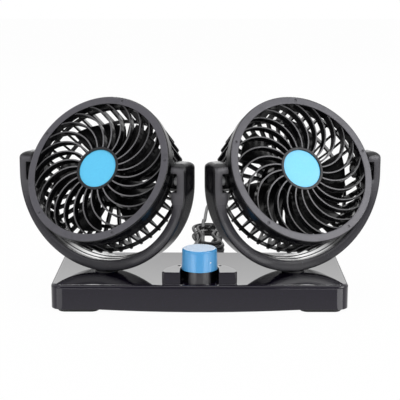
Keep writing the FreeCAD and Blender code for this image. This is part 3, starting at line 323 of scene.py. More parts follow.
def lacquer(finish, ior, roughness, start=0.90, stop=0.985, fade=None):
    """A clear top coat where the surface faces up.

    Its weight runs from nought to one as the normal's upward part runs from start to stop. A fade is an
    axis, two places on it and the share of the weight that is left at the second.
    """
    tree = finish.node_tree
    shader = shader_of(finish)
    shader.inputs["Coat IOR"].default_value = ior
    shader.inputs["Coat Roughness"].default_value = roughness
    share = facing(finish, UP, start, stop)
    if fade:
        axis, first, second, weight = fade
        along = one_axis(tree, placed(tree, "Object"), axis)
        share = both(finish, share, mapped(finish, along, 1.0, weight, first, second))
    tree.links.new(share, shader.inputs["Coat Weight"])
    for link in shader.inputs["Normal"].links:
        tree.links.new(link.from_socket, shader.inputs["Coat Normal"])


def scaled(colour, factor):
    """A colour made lighter or darker by a factor."""
    return tuple(min(1.0, part * factor) for part in colour)


def gloss_finish(name, colour, low, high, level, edge):
    """Polished moulding: faint flow waves, dust specks and haze in the roughness."""
    finish = new_finish(name, colour, low, IOR=1.5, Specular_IOR_Level=level)
    vary_roughness(finish, noise(finish, 55.0, 5.0), low, high)
    specks = noise(finish, 900.0, 4.0)
    paint(finish, speckled(finish, specks, colour, scaled(colour, 3.0), 0.64, 0.80))
    roughen(finish, noise(finish, 90.0, 1.0), 0.000012, edge)
    return finish


def grained_finish(name, colour, low, high, cells, depth, level):
    """Spark-eroded moulding: a fine grain in height, colour and roughness."""
    finish = new_finish(name, colour, low, Specular_IOR_Level=level)
    grain = noise(finish, cells, 4.0)
    vary_roughness(finish, noise(finish, 120.0, 3.0), low, high)
    paint(finish, speckled(finish, grain, scaled(colour, 0.90), scaled(colour, 1.1)))
    roughen(finish, grain, depth)
    return finish


STREAKS = (1.0, 1.0, 12.0)


def metal_finish(name, colour, low, high):
    """Plated metal: drawn streaks in the roughness and a faint tarnish."""
    finish = new_finish(name, colour, low, Metallic=1.0)
    streak = noise(finish, 900.0, 3.0, STREAKS)
    vary_roughness(finish, streak, low, high)
    paint(finish, speckled(finish, noise(finish, 260.0, 4.0), scaled(colour, 0.78), colour))
    roughen(finish, streak, 0.00002)
    return finish


BAND_INNER = 0.0496
BEZEL_OUTER = 0.0166
RIM_STEP = 0.0003
SPOKE_FADE = 0.025
SPOKE_END = 0.28
GRILLE_FRONT = (0.86, 0.96)
SCUFFED = (0.56, 0.74)


def grille_finish(side):
    """Front grille: grained grey ring, spoke fronts painted lighter as a highlight that fades outwards,
    polished black sides, and a near-black bezel painted a little lighter than the sides as its rim's
    highlight.
    """
    tone = colours()
    joint = JOINTS[side + "_spin"]
    finish = new_finish(side + "_grille", tone.ring, 0.4, Specular_IOR_Level=0.36)
    front = facing(finish, joint["axis"], *GRILLE_FRONT)
    out = reach(finish, joint["pos_m"], joint["axis"])
    on_band = mapped(finish, out, 0.0, 1.0, BAND_INNER - RIM_STEP, BAND_INNER)
    past_bezel = mapped(finish, out, 0.0, 1.0, BEZEL_OUTER - RIM_STEP, BEZEL_OUTER)
    outwards = mapped(finish, out, 0.0, 1.0, SPOKE_FADE, BAND_INNER)
    grain = noise(finish, 2600.0, 4.0)
    scuffs = mapped(finish, noise(finish, 160.0, 5.0), 0.0, 0.5, *SCUFFED)
    band = speckled(finish, grain, scaled(tone.ring, 0.88), scaled(tone.ring, 1.12))
    band = mixed(finish, scuffs, band, scaled(tone.ring, 0.55))
    # Painted highlight on the spokes' fronts, fading towards the ring.
    spokes = mixed(finish, outwards, tone.spoke_highlight, scaled(tone.spoke_highlight, SPOKE_END))
    # The bezel's face is painted three times lighter than the black sides, a painted highlight for its
    # rim.
    face = mixed(finish, past_bezel, scaled(tone.cage, 3.0), mixed(finish, on_band, spokes, band))
    paint(finish, mixed(finish, front, tone.cage, face))
    vary_roughness(finish, front, 0.14, 0.32, 0.0, 1.0)
    roughen(finish, grain, 0.000012, 0.0013)
    return finish


COLLAR_LIT_FRONT = (0.68, 0.74)


def collar_finish():
    """Collar under the knob: satin grey in front between polished black sides, which are painted shade of
    the dark recess round it.
    """
    tone = colours()
    finish = grained_finish("collar_satin", tone.collar, 0.20, 0.28, 2600.0, 0.000006, 0.5)
    front = facing(finish, TOWARDS_USER, *COLLAR_LIT_FRONT)
    # Painted shade: faces that turn away from the user are painted near black, as the recess round the
    # collar shades them.
    paint(finish, mixed(finish, front, scaled(tone.collar, 0.08), painted(finish)))
    return finish


SATIN_INNER = 0.013
SATIN_OUTER = 0.028
YOKE_FRONT = (0.80, 0.95)
YOKE_UP = (0.86, 0.97)
YOKE_FADE = ("Z", 0.055, 0.065, 0.0)


def yoke_finish(side):
    """Yoke: polished black, its sides painted darker as shade, with satin pivot blocks whose fronts are
    partly painted lighter as a highlight, and a clear coat low inside.
    """
    tone = colours()
    joint = JOINTS[side + "_tilt"]
    axis = joint["axis"]
    finish = gloss_finish(side + "_yoke", tone.yoke, 0.09, 0.17, 0.36, 0.0050)
    near = mapped(finish, reach(finish, joint["pos_m"], axis), 1.0, 0.0, SATIN_INNER, SATIN_OUTER)
    front = facing(finish, (axis[1], -axis[0], 0.0), *YOKE_FRONT)
    # The pivot blocks' fronts take the lighter block grey: partly their satin tone, partly a painted
    # highlight where the light falls on them.
    satin = both(finish, near, front)
    # Painted shade: faces that turn away from the front are painted at a fifth of the yoke black.
    black = mixed(finish, front, scaled(tone.yoke, 0.2), painted(finish))
    paint(finish, mixed(finish, satin, black, tone.block))
    vary_roughness(finish, satin, 0.13, 0.34, 0.0, 1.0)
    lacquer(finish, 1.9, 0.06, *YOKE_UP, YOKE_FADE)
    return finish


# Polished finishes: colour, low and high roughness, specular level, radius of the softened edges
POLISHED = {
    "base_gloss": ("gloss", 0.03, 0.07, 0.45, 0.0010),
    "cage_black": ("cage", 0.10, 0.18, 0.45, 0.0004),
    "propeller_black": ("blade", 0.16, 0.26, 0.34, 0.0004),
}

# Grained finishes: colour, low and high roughness, grain in cells per metre, its depth, specular level
GRAINED = {
    "disc_blue": ("disc", 0.16, 0.24, 2400.0, 0.000004, 0.5),
    "pin_grey": ("pin", 0.30, 0.42, 2000.0, 0.00001, 0.5),
    "plate_black": ("plate", 0.42, 0.58, 1400.0, 0.00008, 0.5),
    "foot_rubber": ("rubber", 0.62, 0.80, 1800.0, 0.00010, 0.5),
    "knob_blue": ("knob", 0.14, 0.20, 3000.0, 0.000006, 0.5),
    "knob_dot": ("dot", 0.40, 0.50, 3000.0, 0.000006, 0.5),
    "cord_black": ("jacket", 0.32, 0.44, 2400.0, 0.00002, 0.30),
    "tie_black": ("tie", 0.22, 0.36, 1500.0, 0.00003, 0.5),
    "plug_black": ("plate", 0.34, 0.46, 1700.0, 0.00004, 0.5),
    "washer_grey": ("washer", 0.42, 0.55, 1500.0, 0.00003, 0.5),
}

# Plated finishes: colour, low and high roughness
PLATED = {
    "steel": ("steel", 0.22, 0.38),
    "motor_can": ("steel", 0.28, 0.44),
    "plug_metal": ("nickel", 0.12, 0.26),
}


BASE_FADE = ("Y", -0.045, 0.045, 0.45)


def make_finishes():
    """Every finish by its name: those of the three tables, the collar's, the grilles' and the yokes'."""
    tone = colours()
    made = {"collar_satin": collar_finish()}
    for table, maker in ((POLISHED, gloss_finish), (GRAINED, grained_finish), (PLATED, metal_finish)):
        for name, (colour, *values) in table.items():
            made[name] = maker(name, getattr(tone, colour), *values)
    lacquer(made["base_gloss"], 1.95, 0.02, fade=BASE_FADE)
    lacquer(made["knob_blue"], 1.62, 0.10)
    for side in SIDES:
        made[side + "_grille"] = grille_finish(side)
        made[side + "_yoke"] = yoke_finish(side)
    return made


FINISHES = {}

BASE_NODES = {
    "base_cover": "base_gloss",
    "base_plate": "plate_black",
    "foot_front_left": "foot_rubber",
    "foot_front_right": "foot_rubber",
    "foot_rear_left": "foot_rubber",
    "foot_rear_right": "foot_rubber",
    "knob_collar": "collar_satin",
    "speed_knob": "knob_blue",
    "speed_switch": "plate_black",
    "switch_shaft": "steel",
    "plug_nose": "plug_black",
    "plug_tip": "plug_metal",
    "plug_springs": "plug_metal",
}

SIDE_NODES = {
    "tilt_pins": "pin_grey",
    "centre_disc": "disc_blue",
    "swivel_post": "steel",
    "swivel_washer": "washer_grey",
    "swivel_nut": "steel",
    "rear_cage": "cage_black",
    "motor": "motor_can",
    "motor_screws": "steel",
    "motor_cover": "cage_black",
    "motor_shaft": "steel",
    "propeller": "propeller_black",
}


def dress(node, finish):
    """Gives a CAD node one finish."""
    slots = frame["nodes"][node].data.materials
    slots.clear()
    slots.append(finish)


def skin(name, blocks, finish, wrap_rows=False):
    """One mesh of closed surfaces, each from an array of rings (rows, columns, 3).

    Point (r, c) joins (r, c+1), (r+1, c+1) and (r+1, c). Columns close on themselves, and the first and
    last rows are filled, or joined where wrap_rows says so. A shell of negative volume is turned.
    """
    corners, faces = [], []
    for rings in blocks:
        rows, columns = rings.shape[:2]
        index = np.arange(rows * columns).reshape(rows, columns)
        along = np.vstack([index, index[:1]]) if wrap_rows else index
        round_on = np.roll(along, -1, axis=1)
        quads = np.stack([along[:-1], round_on[:-1], round_on[1:], along[1:]], axis=-1).reshape(-1, 4)
        points = rings.reshape(-1, 3)
        arm = points[quads] - points.mean(axis=0)
        volume = np.einsum("ij,ij->i", arm[:, 0], np.cross(arm[:, 1], arm[:, 2])).sum()
        volume += np.einsum("ij,ij->i", arm[:, 0], np.cross(arm[:, 2], arm[:, 3])).sum()
        ends = [] if wrap_rows else [index[0, ::-1], index[-1]]
        step = -1 if volume < 0 else 1
        first = sum(len(block) for block in corners)
        faces += [(face[::step] + first).tolist() for face in (*quads, *ends)]
        corners.append(points)
    mesh = bpy.data.meshes.new(name)
    mesh.from_pydata(np.vstack(corners).tolist(), [], faces)
    mesh.polygons.foreach_set("use_smooth", np.ones(len(faces), dtype=bool))
    mesh.materials.append(finish)
    mesh.update()
    piece = bpy.data.objects.new(name, mesh)
    bpy.context.scene.collection.objects.link(piece)
    return piece


def unit(rows):
    """Vectors made one long."""
    return rows / np.linalg.norm(rows, axis=-1, keepdims=True)


def carried(path, across, section):
    """Rings of a flat section carried along a path.

    Section point (a, b) of row i lies at path[i] + a * w + b * n, where w is the across vector made square
    to the path's tangent and n is their cross product.
    """
    tangent = unit(np.gradient(path, axis=0))
    wide = unit(across - (across * tangent).sum(axis=1, keepdims=True) * tangent)
    thick = np.cross(tangent, wide)
    return path[:, None] + section[None, :, :1] * wide[:, None] + section[None, :, 1:] * thick[:, None]


def turned(start, axis, radius, along, columns=64, flutes=0, cut=0.0):
    """Rings of a turned piece: ring i lies along[i] down the axis, at radius[i] less a flute's depth.

    A flute's depth is cut[i] * (1 + cos(flutes * angle)) / 2.
    """
    axis = unit(np.array(axis, dtype=float))
    side = unit(np.cross(axis, UP if abs(axis[2]) < 0.9 else (1.0, 0.0, 0.0)))
    angle = np.linspace(0, 2 * math.pi, columns, endpoint=False)
    hollow = np.multiply.outer(np.broadcast_to(cut, radius.shape), (1 + np.cos(flutes * angle)) / 2)
    out = np.multiply.outer(np.cos(angle), side) + np.multiply.outer(np.sin(angle), np.cross(axis, side))
    middle = np.array(start) + np.multiply.outer(along, axis)
    return middle[:, None] + (radius[:, None] - hollow)[..., None] * out[None]


def smooth(values, start, stop):
    """A smooth step from nought at start to one at stop."""
    t = np.clip((values - start) / (stop - start), 0, 1)
    return t * t * (3 - 2 * t)


RELIEF_START = (0.0, 0.0465, 0.009)
RELIEF_LENGTH = 0.016
RELIEF_RADIUS = 0.0034
RELIEF_TAPER = 0.0012
TAPER_START = 0.0024
FLANGE_RADIUS = 0.0048
FLANGE_EDGE = (0.0021, 0.0026)
GROOVE_START = 0.0042
GROOVE_STEP = 0.0019
GROOVE_COUNT = 5


def strain_relief(finish):
    """A flange and a tapered sleeve with ring grooves of cosine depth."""
    along = np.linspace(0, RELIEF_LENGTH, 180)
    flange = 1 - smooth(along, *FLANGE_EDGE)
    sleeve = RELIEF_RADIUS - RELIEF_TAPER * smooth(along, TAPER_START, RELIEF_LENGTH)
    past = along - GROOVE_START
    wave = (1 - np.cos(2 * math.pi * past / GROOVE_STEP)) / 2
    grooved = (past > 0) & (past < GROOVE_COUNT * GROOVE_STEP)
    radius = sleeve + flange * (FLANGE_RADIUS - sleeve) - sizes().groove * wave * grooved
    return skin("strain_relief_ribbed", [turned(RELIEF_START, (0, 1, 0), radius, along, 48)], finish)


PLUG_START = (0.061, 0.400, 0.0115)
PLUG_AXIS = (0.5, math.sqrt(0.75), 0.0)
PLUG_LENGTH = 0.049
BOOT_RADIUS = 0.0028
BOOT_FLARE = 0.0018
BOOT_LENGTH = 0.012
GRIP_RADIUS = 0.0115
SHOULDER = (0.0115, 0.019)
GRIP_END = (0.0478, PLUG_LENGTH)
GRIP_CLOSE = 0.0008
FLUTES = 18
FLUTES_IN = (0.019, 0.023)
FLUTES_OUT = (0.043, 0.046)


def plug_grip(finish):
    """A boot, a round shoulder and a grip whose flutes fade out at both ends."""
    along = np.linspace(0, PLUG_LENGTH, 140)
    boot = BOOT_RADIUS + BOOT_FLARE * smooth(along, 0, BOOT_LENGTH)
    shoulder = np.sqrt(smooth(along, *SHOULDER))
    close = GRIP_CLOSE * smooth(along, *GRIP_END)
    radius = boot + shoulder * (GRIP_RADIUS - boot) - close
    cut = sizes().flute * smooth(along, *FLUTES_IN) * (1 - smooth(along, *FLUTES_OUT))
    rings = turned(PLUG_START, PLUG_AXIS, radius, along, 144, FLUTES, cut)
    return skin("plug_grip", [rings], finish)


SCREW_PLACES = ((-0.091, -0.0215), (-0.091, 0.0215), (0.091, -0.0215), (0.091, 0.0215))
SCREW_RADIUS = 0.0028
SCREW_HEAD = 0.0008
SCREW_DOME = 0.0005
SCREW_MIDDLE = 0.00002
CROSS_HALF = 0.00034
CROSS_REACH = 0.0016
CROSS_DEPTH = 0.00055
CROSS_EDGE = 0.00012
CROSS_END = 0.0003


def cross_screws(finish):
    """Domed screw heads, their height a circle's arc less a cross-shaped recess."""
    angle = np.linspace(0, 2 * math.pi, 96, endpoint=False)
    out = np.linspace(SCREW_RADIUS, SCREW_MIDDLE, 34)[:, None]
    x, y = out * np.cos(angle), out * np.sin(angle)
    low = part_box("base_screws")[0][2]
    dome = low + SCREW_DOME * (out / SCREW_RADIUS) ** 2 + 0 * angle
    arm = 1 - smooth(np.minimum(np.abs(x), np.abs(y)), CROSS_HALF, CROSS_HALF + CROSS_EDGE)
    recess = CROSS_DEPTH * arm * (1 - smooth(out, CROSS_REACH - CROSS_END, CROSS_REACH))
    head = np.stack([x, y, dome + recess], axis=-1)
    rim = head[:1].copy()
    rim[..., 2] = low + SCREW_HEAD
    rings = np.concatenate([rim, head])
    blocks = [rings + np.array((px, py, 0.0)) for px, py in SCREW_PLACES]
    return skin("base_screw_heads", blocks, finish)


KNOB_SIDE = 0.01262
DOT_RISE = 0.0067
DOT_TURN = math.radians(38.0)
DOT_RADII = np.array((1.0, 1.0, 0.8, 0.5, 0.15))
DOT_HEIGHTS = np.array((-0.5, 0.14, 0.24, 0.30, 0.32))


def knob_dot(finish):
    """A small white dot on the knob's side, a painted glint: a low dome of rings that narrow as they rise.
    """
    axis = np.array(JOINTS["speed_knob_turn"]["pos_m"])
    normal = np.array((math.sin(DOT_TURN), -math.cos(DOT_TURN), 0.0))
    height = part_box("speed_knob")[0][2] + DOT_RISE
    start = np.array((axis[0], axis[1], height)) + KNOB_SIDE * normal
    rings = turned(start, normal, sizes().dot * DOT_RADII, sizes().dot * DOT_HEIGHTS, 24)
    return skin("knob_dot", [rings], finish)


YOKE_INNER = 0.0616
RIDGE_PLACES = (-0.0032, 0.0032)
RIDGE_HALF_SWEEP = math.radians(52.0)
RIDGE_FLAT = 0.8


def yoke_ridges(side, finish):
    """Two ridges inside the yoke's bottom, half sunk in it: arcs of its inner radius about the pivot."""
    joint = JOINTS[side + "_tilt"]
    along = unit(np.array(joint["axis"]))
    down = np.array((0.0, 0.0, -1.0))
    depth = np.cross(along, down)
    angle = np.linspace(-RIDGE_HALF_SWEEP, RIDGE_HALF_SWEEP, 90)
    turn = np.linspace(0, 2 * math.pi, 12, endpoint=False)
    section = sizes().ridge / 2 * np.column_stack([np.cos(turn), RIDGE_FLAT * np.sin(turn)])
    arc = YOKE_INNER * (np.multiply.outer(np.sin(angle), along) + np.multiply.outer(np.cos(angle), down))
    across = np.tile(depth, (len(angle), 1))
    paths = [np.array(joint["pos_m"]) + arc + place * depth for place in RIDGE_PLACES]
    return skin(side + "_yoke_ridges", [carried(path, across, section) for path in paths], finish)


LEAD_POINTS = np.array([
    (0.0, 62.5, 9.0), (0.0, 72.5, 9.0), (-3.2, 85.0, 4.2), (-6.7, 95.5, 2.6), (-6.7, 105.0, 2.6),
]) / 1000
TAIL_POINTS = np.array([
    (2.0, 166.0, 13.1), (2.3, 188.0, 13.2), (2.9, 211.0, 7.0), (3.4, 234.0, 1.7),
    (4.2, 262.0, 1.5), (6.0, 306.0, 1.5), (14.0, 338.0, 1.5), (30.0, 360.0, 2.0),
    (44.5, 376.0, 6.5), (55.0, 389.6, 11.5), (61.0, 400.0, 11.5),
]) / 1000
WAIST = np.array([0.0069, 0.139])
HANK_RUN = 0.062
HANK_REACH = 0.013625
HANK_STEP = 0.0037
HANK_LAYER = 0.0035
HANK_FLOOR = 0.0026
WAIST_DRAW = 0.005
LOOPS_DEEP = 3
LAST_RUN = 10
LAST_REACH = 0.0050
LAST_LIFT = 0.0012
LAST_STOP = 0.1
RUN_STOPS = np.array([-0.40, -0.20, 0.0, 0.20, 0.40])
FOLD_STOPS = np.radians(np.arange(15.0, 180.0, 30.0))
FOLD_LOOSE = 0.0025
FOLD_TURN = 2.3
FOLD_PHASE = 0.5


def hank_row(number):
    """Side, heading, reach and the two heights of one run of the hank."""
    side = -1 if number % 2 == 0 else 1
    depth = number % (2 * LOOPS_DEEP)
    reach = HANK_REACH - min(depth, 2 * LOOPS_DEEP - depth) * HANK_STEP / 2
    low = HANK_FLOOR + HANK_LAYER * max(0, math.ceil(number / LOOPS_DEEP) - 1)
    high = HANK_FLOOR + HANK_LAYER * (number // LOOPS_DEEP)
    if number == LAST_RUN:
        return side, -side, LAST_REACH, high, high + LAST_LIFT
    return side, -side, reach, low, high


def hank_points():
    """Control points of the hank's runs and folds.

    A run's x is its reach less a cosine draw toward the tied waist, and its height is a smooth step. A
    fold's points lie at 15, 45 ... 165 degrees on a circle widened by 1 / cos 15 degrees, which the spline
    cuts back to the true one, and its depth varies by a sine from fold to fold.
    """
    rows = []
    widen = 1 / math.cos(FOLD_STOPS[0])
    for number in range(LAST_RUN + 1):
        side, heading, reach, low, high = hank_row(number)
        stops = RUN_STOPS if number < LAST_RUN else RUN_STOPS[RUN_STOPS < LAST_STOP]
        draw = WAIST_DRAW * (1 + np.cos(2 * math.pi * stops)) / 2 * (number < LAST_RUN)
        blend = (stops + 0.5) ** 2 * (2 - 2 * stops)
        rows.append(np.column_stack([
            WAIST[0] + side * (reach - draw), WAIST[1] + heading * stops * HANK_RUN,
            low + (high - low) * blend,
        ]))
        if number == LAST_RUN:
            break
        following = hank_row(number + 1)[2]
        radius = (reach + following) / 2
        loose = FOLD_LOOSE * math.sin(FOLD_TURN * number + FOLD_PHASE)
        rows.append(np.column_stack([
            WAIST[0] + side * ((reach - following) / 2 + radius * widen * np.cos(FOLD_STOPS)),
            WAIST[1] + heading * (HANK_RUN / 2 + (radius * widen + loose) * np.sin(FOLD_STOPS)),
            np.full(len(FOLD_STOPS), high),
        ]))
    return np.vstack(rows)


def cord_piece(finish):
    """One spline from the base to the plug, through the hank."""
    route = np.vstack([LEAD_POINTS, hank_points(), TAIL_POINTS])
    curve = bpy.data.curves.new("cord", "CURVE")
    curve.dimensions = "3D"
    curve.bevel_depth = sizes().cord / 2
    curve.bevel_resolution = 5
    curve.use_fill_caps = True
    spline = curve.splines.new("NURBS")
    spline.points.add(len(route) - 1)
    spline.points.foreach_set("co", np.column_stack([route, np.ones(len(route))]).ravel())
    spline.order_u = 3
    spline.use_endpoint_u = True
    spline.resolution_u = 6
    curve.materials.append(finish)
    piece = bpy.data.objects.new("cord", curve)
    bpy.context.scene.collection.objects.link(piece)
    return piece


TIE_HALF = np.array([0.0112, 0.0072])
TIE_MIDDLE = 0.0080
TIE_POWER = 0.62
TIE_TURNS = 3.0
TIE_SKEW = 0.0016
TIE_LEAN = 0.3
STRIP_POWER = 0.7
STRIP_EDGE = 0.55
WIRE_SHARE = 0.22

TIE_ENDS = {
    "hank_tie_end_left": (
        (6.9, 138.6, 15.2), (5.5, 137.0, 19.0), (-1.0, 134.0, 19.0), (-7.0, 131.0, 13.0),
    ),
    "hank_tie_end_right": (
        (6.9, 139.4, 15.2), (8.5, 140.0, 19.5), (14.0, 138.0, 21.0), (20.5, 136.0, 17.5),
    ),
}


def strip_section():
    """Rounded flat section of the wire tie: a superellipse, thickened by a bell curve over its wire."""
    angle = np.linspace(0, 2 * math.pi, 16, endpoint=False)
    wide = np.sign(np.cos(angle)) * np.abs(np.cos(angle)) ** STRIP_POWER * sizes().tie_width / 2
    bulge = STRIP_EDGE + (1 - STRIP_EDGE) * np.exp(-((wide / (WIRE_SHARE * sizes().tie_width)) ** 2))
    return np.column_stack([wide, np.sin(angle) * bulge * sizes().tie_thick / 2])


def tie_band(finish):
    """The tie's turn round the waist: a superellipse in x and z, slightly askew along y."""
    angle = np.linspace(0, 2 * math.pi, 96, endpoint=False)
    side, rise = np.cos(angle), np.sin(angle)
    path = np.column_stack([
        WAIST[0] + TIE_HALF[0] * np.sign(side) * np.abs(side) ** TIE_POWER,
        WAIST[1] + TIE_SKEW * side,
        TIE_MIDDLE + TIE_HALF[1] * np.sign(rise) * np.abs(rise) ** TIE_POWER,
    ])
    closed = np.vstack([path[-1:], path, path[:1]])
    across = np.tile((0.0, 1.0, 0.0), (len(closed), 1))
    return skin("hank_tie_band", [carried(closed, across, strip_section())[1:-1]], finish, wrap_rows=True)


def tie_end(name, stops, finish):
    """A twisted end: the flat section turns about a cubic curve, evenly over its first two thirds."""
    knots = np.array(stops) / 1000
    t = np.linspace(0, 1, 70)[:, None]
    weights = np.hstack([(1 - t) ** 3, 3 * t * (1 - t) ** 2, 3 * t ** 2 * (1 - t), t ** 3])
    path = weights @ knots
    twist = 2 * math.pi * TIE_TURNS * np.clip(1 - 1.5 * t, 0, 1)
    across = np.column_stack([TIE_LEAN * np.sin(twist), np.cos(twist), np.sin(twist)])
    return skin(name, [carried(path, across, strip_section())], finish)


ROOM_RAMP = (-0.65, 0.10)
NEAR_RAMP = (-0.25, -0.055)
BEHIND_RAMP = (0.0, 0.06)
FLOOR_GLOW = 0.97
FLOOR_NEAR = 1.0
FLOOR_BEHIND = 0.24
KNOB_CARD = ((0.062, -0.205), (0.165, -0.205), (0.165, -0.124), (0.062, -0.124))
CORNER_CARD = ((0.0975, -0.0475), (0.1141, -0.1360), (0.1810, -0.0870), (0.1008, -0.0461))
CARD_LIFT = 0.002
SHEEN_AIM = (0.80, -0.35, 0.49)
SHEEN_AWAY = 1.0
SHEEN_SIDE = 0.60

# Soft boxes: place, the point each looks at, side
SOFT_BOXES = {
    "key": ((0.0, -0.25, 1.5), (0.0, 0.0, 0.05), 1.6),
    "back": ((0.0, 1.6, 1.0), (0.0, 0.0, 0.06), 0.9),
    "left": ((-0.46, -0.42, 0.26), (-0.06, 0.0, 0.07), 0.34),
    "right": ((0.46, -0.42, 0.26), (0.06, 0.0, 0.07), 0.34),
}


def white_world(ambient, front):
    """White to the eye, in reflections white behind and dimmer in front, and an even light on the rest."""
    world = bpy.data.worlds.new("white_room")
    world.use_nodes = True
    tree = world.node_tree
    back = tree.nodes["Background"]
    back.inputs["Color"].default_value = (1.0, 1.0, 1.0, 1.0)
    ray = tree.nodes.new("ShaderNodeLightPath").outputs
    room = ranged(tree, one_axis(tree, placed(tree, "Generated"), "Y"), *ROOM_RAMP, front, 1.0)
    glossy = ranged(tree, ray["Is Glossy Ray"], 0, 1, ambient, room)
    seen = combined(tree, "MAXIMUM", ray["Is Camera Ray"], ray["Is Transmission Ray"])
    tree.links.new(ranged(tree, seen, 0, 1, glossy, 1.0), back.inputs["Strength"])
    bpy.context.scene.world = world


def flat_board(name, corners, finish):
    """A piece of the stage with one four-cornered face."""
    mesh = bpy.data.meshes.new(name)
    mesh.from_pydata(corners, [], [(0, 1, 2, 3)])
    mesh.materials.append(finish)
    board = bpy.data.objects.new(name, mesh)
    bpy.context.scene.collection.objects.link(board)
    return board


def floor_plane(side, front):
    """A white floor that keeps a soft shadow under the object, and that reflections show dimmer."""
    finish = bpy.data.materials.new("floor_white")
    finish.use_nodes = True
    tree = finish.node_tree
    tree.nodes.remove(tree.nodes["Principled BSDF"])
    matt = tree.nodes.new("ShaderNodeBsdfDiffuse")
    matt.inputs["Color"].default_value = (0.95, 0.95, 0.95, 1.0)
    glow = tree.nodes.new("ShaderNodeEmission")
    mix = tree.nodes.new("ShaderNodeMixShader")
    ray = tree.nodes.new("ShaderNodeLightPath").outputs
    depth = one_axis(tree, placed(tree, "Object"), "Y")
    near = ranged(tree, depth, *NEAR_RAMP, front, FLOOR_NEAR)
    dim = ranged(tree, depth, *BEHIND_RAMP, near, FLOOR_BEHIND)
    tree.links.new(ranged(tree, ray["Is Glossy Ray"], 0, 1, 1.0, dim), glow.inputs["Strength"])
    seen = combined(tree, "MAXIMUM", ray["Is Camera Ray"], ray["Is Glossy Ray"])
    seen = combined(tree, "MAXIMUM", seen, ray["Is Transmission Ray"])
    tree.links.new(combined(tree, "MULTIPLY", seen, FLOOR_GLOW), mix.inputs["Fac"])
    tree.links.new(matt.outputs["BSDF"], mix.inputs[1])
    tree.links.new(glow.outputs["Emission"], mix.inputs[2])
    tree.links.new(mix.outputs["Shader"], tree.nodes["Material Output"].inputs["Surface"])
    half = side / 2
    flat_board("floor", [(-half, -half, 0), (half, -half, 0), (half, half, 0), (-half, half, 0)], finish)


def floor_corners(sign, places):
    """Corners of a card that lies just over the floor on one side."""
    return [(sign * x, y, CARD_LIFT) for x, y in places]


def sheen_corners():
    """Corners of a square card square to its aim, high on the right, for the sheen on the right head."""
    aim = unit(np.array(SHEEN_AIM))
    wide = unit(np.cross(aim, UP))
    tall = np.cross(wide, aim)
    middle = np.array(JOINTS["right_spin"]["pos_m"]) + SHEEN_AWAY * aim
    half = SHEEN_SIDE / 2
    return [tuple(middle + half * (a * wide + b * tall)) for a, b in ((-1, -1), (1, -1), (1, 1), (-1, 1))]


def card(name, corners, strength):
    """A bright card that only reflections show."""
    white = (1.0, 1.0, 1.0, 1.0)
    finish = new_finish(name, (0.9, 0.9, 0.9), 0.5, Emission_Color=white, Emission_Strength=strength)
    board = flat_board(name, corners, finish)
    board.visible_camera = False
    board.visible_diffuse = False
    board.visible_shadow = False


def soft_box(name, place, aim, side, power):
    """A square area light that looks at a point."""
    lamp = bpy.data.lights.new(name, "AREA")
    lamp.shape = "SQUARE"
    lamp.size = side
    lamp.energy = power
    box = bpy.data.objects.new(name, lamp)
    back = np.array(place) - np.array(aim)
    box.location = place
    box.rotation_euler = (
        math.atan2(math.hypot(back[0], back[1]), back[2]), 0.0, math.atan2(back[0], -back[1])
    )
    bpy.context.scene.collection.objects.link(box)


SENSOR_WIDTH = 36.0
CLIP = (0.01, 50.0)


def photo_camera(values):
    """The camera at the photograph's viewing angle."""
    lens = bpy.data.cameras.new("camera")
    lens.sensor_width = SENSOR_WIDTH
    lens.lens = values.lens
    lens.clip_start, lens.clip_end = CLIP
    camera = bpy.data.objects.new("camera", lens)
    camera.location = values.camera
    camera.rotation_euler = (math.pi / 2 - values.pitch, 0.0, values.turn)
    bpy.context.scene.collection.objects.link(camera)
    bpy.context.scene.camera = camera


class MakeStage(Operator):
    """Floor, cards, lights and camera"""

    bl_idname = "carfan.make_stage"
    bl_label = "Stage"

    def execute(self, context):
        values = stage_values()
        context.scene.view_settings.view_transform = "Standard"
        floor_plane(values.floor, values.front)
        for sign, corner in ((-1, values.corner_left), (1, values.corner_right)):
            card("knob_card", floor_corners(sign, KNOB_CARD), values.card)
            card("corner_card", floor_corners(sign, CORNER_CARD), corner)
        card("sheen_card", sheen_corners(), values.sheen)
        white_world(values.ambient, values.front)
        for name, (place, aim, side) in SOFT_BOXES.items():
            soft_box(name + "_box", place, aim, side, getattr(values, name))
        photo_camera(values)
        return {"FINISHED"}


class MakeFinishes(Operator):
    """Finishes of every piece"""

    bl_idname = "carfan.make_finishes"
    bl_label = "Finishes"

    def execute(self, context):
        FINISHES.update(make_finishes())
        return {"FINISHED"}


class MakePlug(Operator):
    """The plug's fluted grip and the ribbed strain relief"""

    bl_idname = "carfan.make_plug"
    bl_label = "Plug and strain relief"

    def execute(self, context):
        relief = strain_relief(FINISHES["cord_black"])
        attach(relief, "base")
        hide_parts("strain_relief")
        grip = plug_grip(FINISHES["plug_black"])
        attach(grip, "base")
        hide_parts("plug_body")
        return {"FINISHED"}


class MakeCord(Operator):
    """The cord with its hank and tie, up to the plug"""

    bl_idname = "carfan.make_cord"
    bl_label = "Cord and tie"

    def execute(self, context):
        cord = cord_piece(FINISHES["cord_black"])
        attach(cord, "base")
        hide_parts("cord_lead", "cord_hank", "cord_tail")
        band = tie_band(FINISHES["tie_black"])
        ends = [tie_end(name, stops, FINISHES["tie_black"]) for name, stops in TIE_ENDS.items()]
        for piece in (band, *ends):
            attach(piece, "base")
        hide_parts("hank_tie")
        nodes = frame["nodes"]
        plug = [bpy.data.objects["plug_grip"]]
        plug += [nodes[name] for name in ("plug_nose", "plug_tip", "plug_springs")]
        return {"FINISHED"}


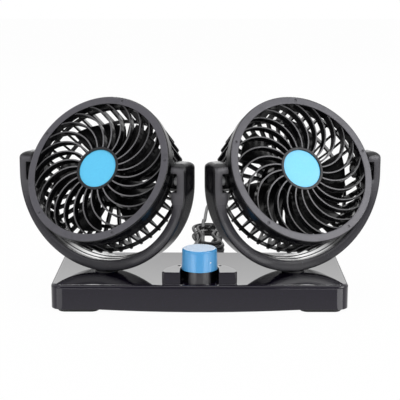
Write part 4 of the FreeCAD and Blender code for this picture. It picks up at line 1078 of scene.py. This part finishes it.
class DressBase(Operator):
    """Finishes of the base, its screws, the knob and its dot"""

    bl_idname = "carfan.dress_base"
    bl_label = "Base and knob"

    def execute(self, context):
        for node, slot in BASE_NODES.items():
            dress(node, FINISHES[slot])
        screws = cross_screws(FINISHES["steel"])
        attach(screws, "base")
        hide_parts("base_screws")
        dot = knob_dot(FINISHES["knob_dot"])
        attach(dot, "knob")
        return {"FINISHED"}


class DressHeads(Operator):
    """Finishes of both yokes and heads"""

    bl_idname = "carfan.dress_heads"
    bl_label = "Yokes and heads"

    def execute(self, context):
        for side in SIDES:
            for node, slot in SIDE_NODES.items():
                dress(f"{side}_{node}", FINISHES[slot])
            dress(f"{side}_front_grille", FINISHES[side + "_grille"])
            dress(f"{side}_yoke", FINISHES[side + "_yoke"])
            ridges = yoke_ridges(side, FINISHES[side + "_yoke"])
            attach(ridges, f"{side}_bracket")
        return {"FINISHED"}


MAKERS = (MakeStage, MakeFinishes, MakePlug, MakeCord, DressBase, DressHeads)


class FanPanel(Panel):
    """Sizes, colours and makers of the fan"""

    bl_idname = "CARFAN_PT_makers"
    bl_label = "Car fan"
    bl_space_type = "VIEW_3D"
    bl_region_type = "UI"
    bl_category = "Car fan"

    def draw(self, context):
        for group in (colours(), sizes(), stage_values()):
            for key in group.__annotations__:
                self.layout.prop(group, key)
        for maker in MAKERS:
            self.layout.operator(maker.bl_idname)


GROUPS = {"fan_colours": FanColours, "fan_sizes": FanSizes, "fan_stage": FanStage}


def register():
    for part in (*GROUPS.values(), *MAKERS, FanPanel):
        bpy.utils.register_class(part)
    for key, group in GROUPS.items():
        setattr(bpy.types.Scene, key, PointerProperty(type=group))


def unregister():
    for key in GROUPS:
        delattr(bpy.types.Scene, key)
    for part in reversed((*GROUPS.values(), *MAKERS, FanPanel)):
        bpy.utils.unregister_class(part)


def main():
    """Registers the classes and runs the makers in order."""
    register()
    bpy.ops.carfan.make_stage()
    bpy.ops.carfan.make_finishes()
    bpy.ops.carfan.make_plug()
    bpy.ops.carfan.make_cord()
    bpy.ops.carfan.dress_base()
    bpy.ops.carfan.dress_heads()


if __name__ == "__main__":
    main()
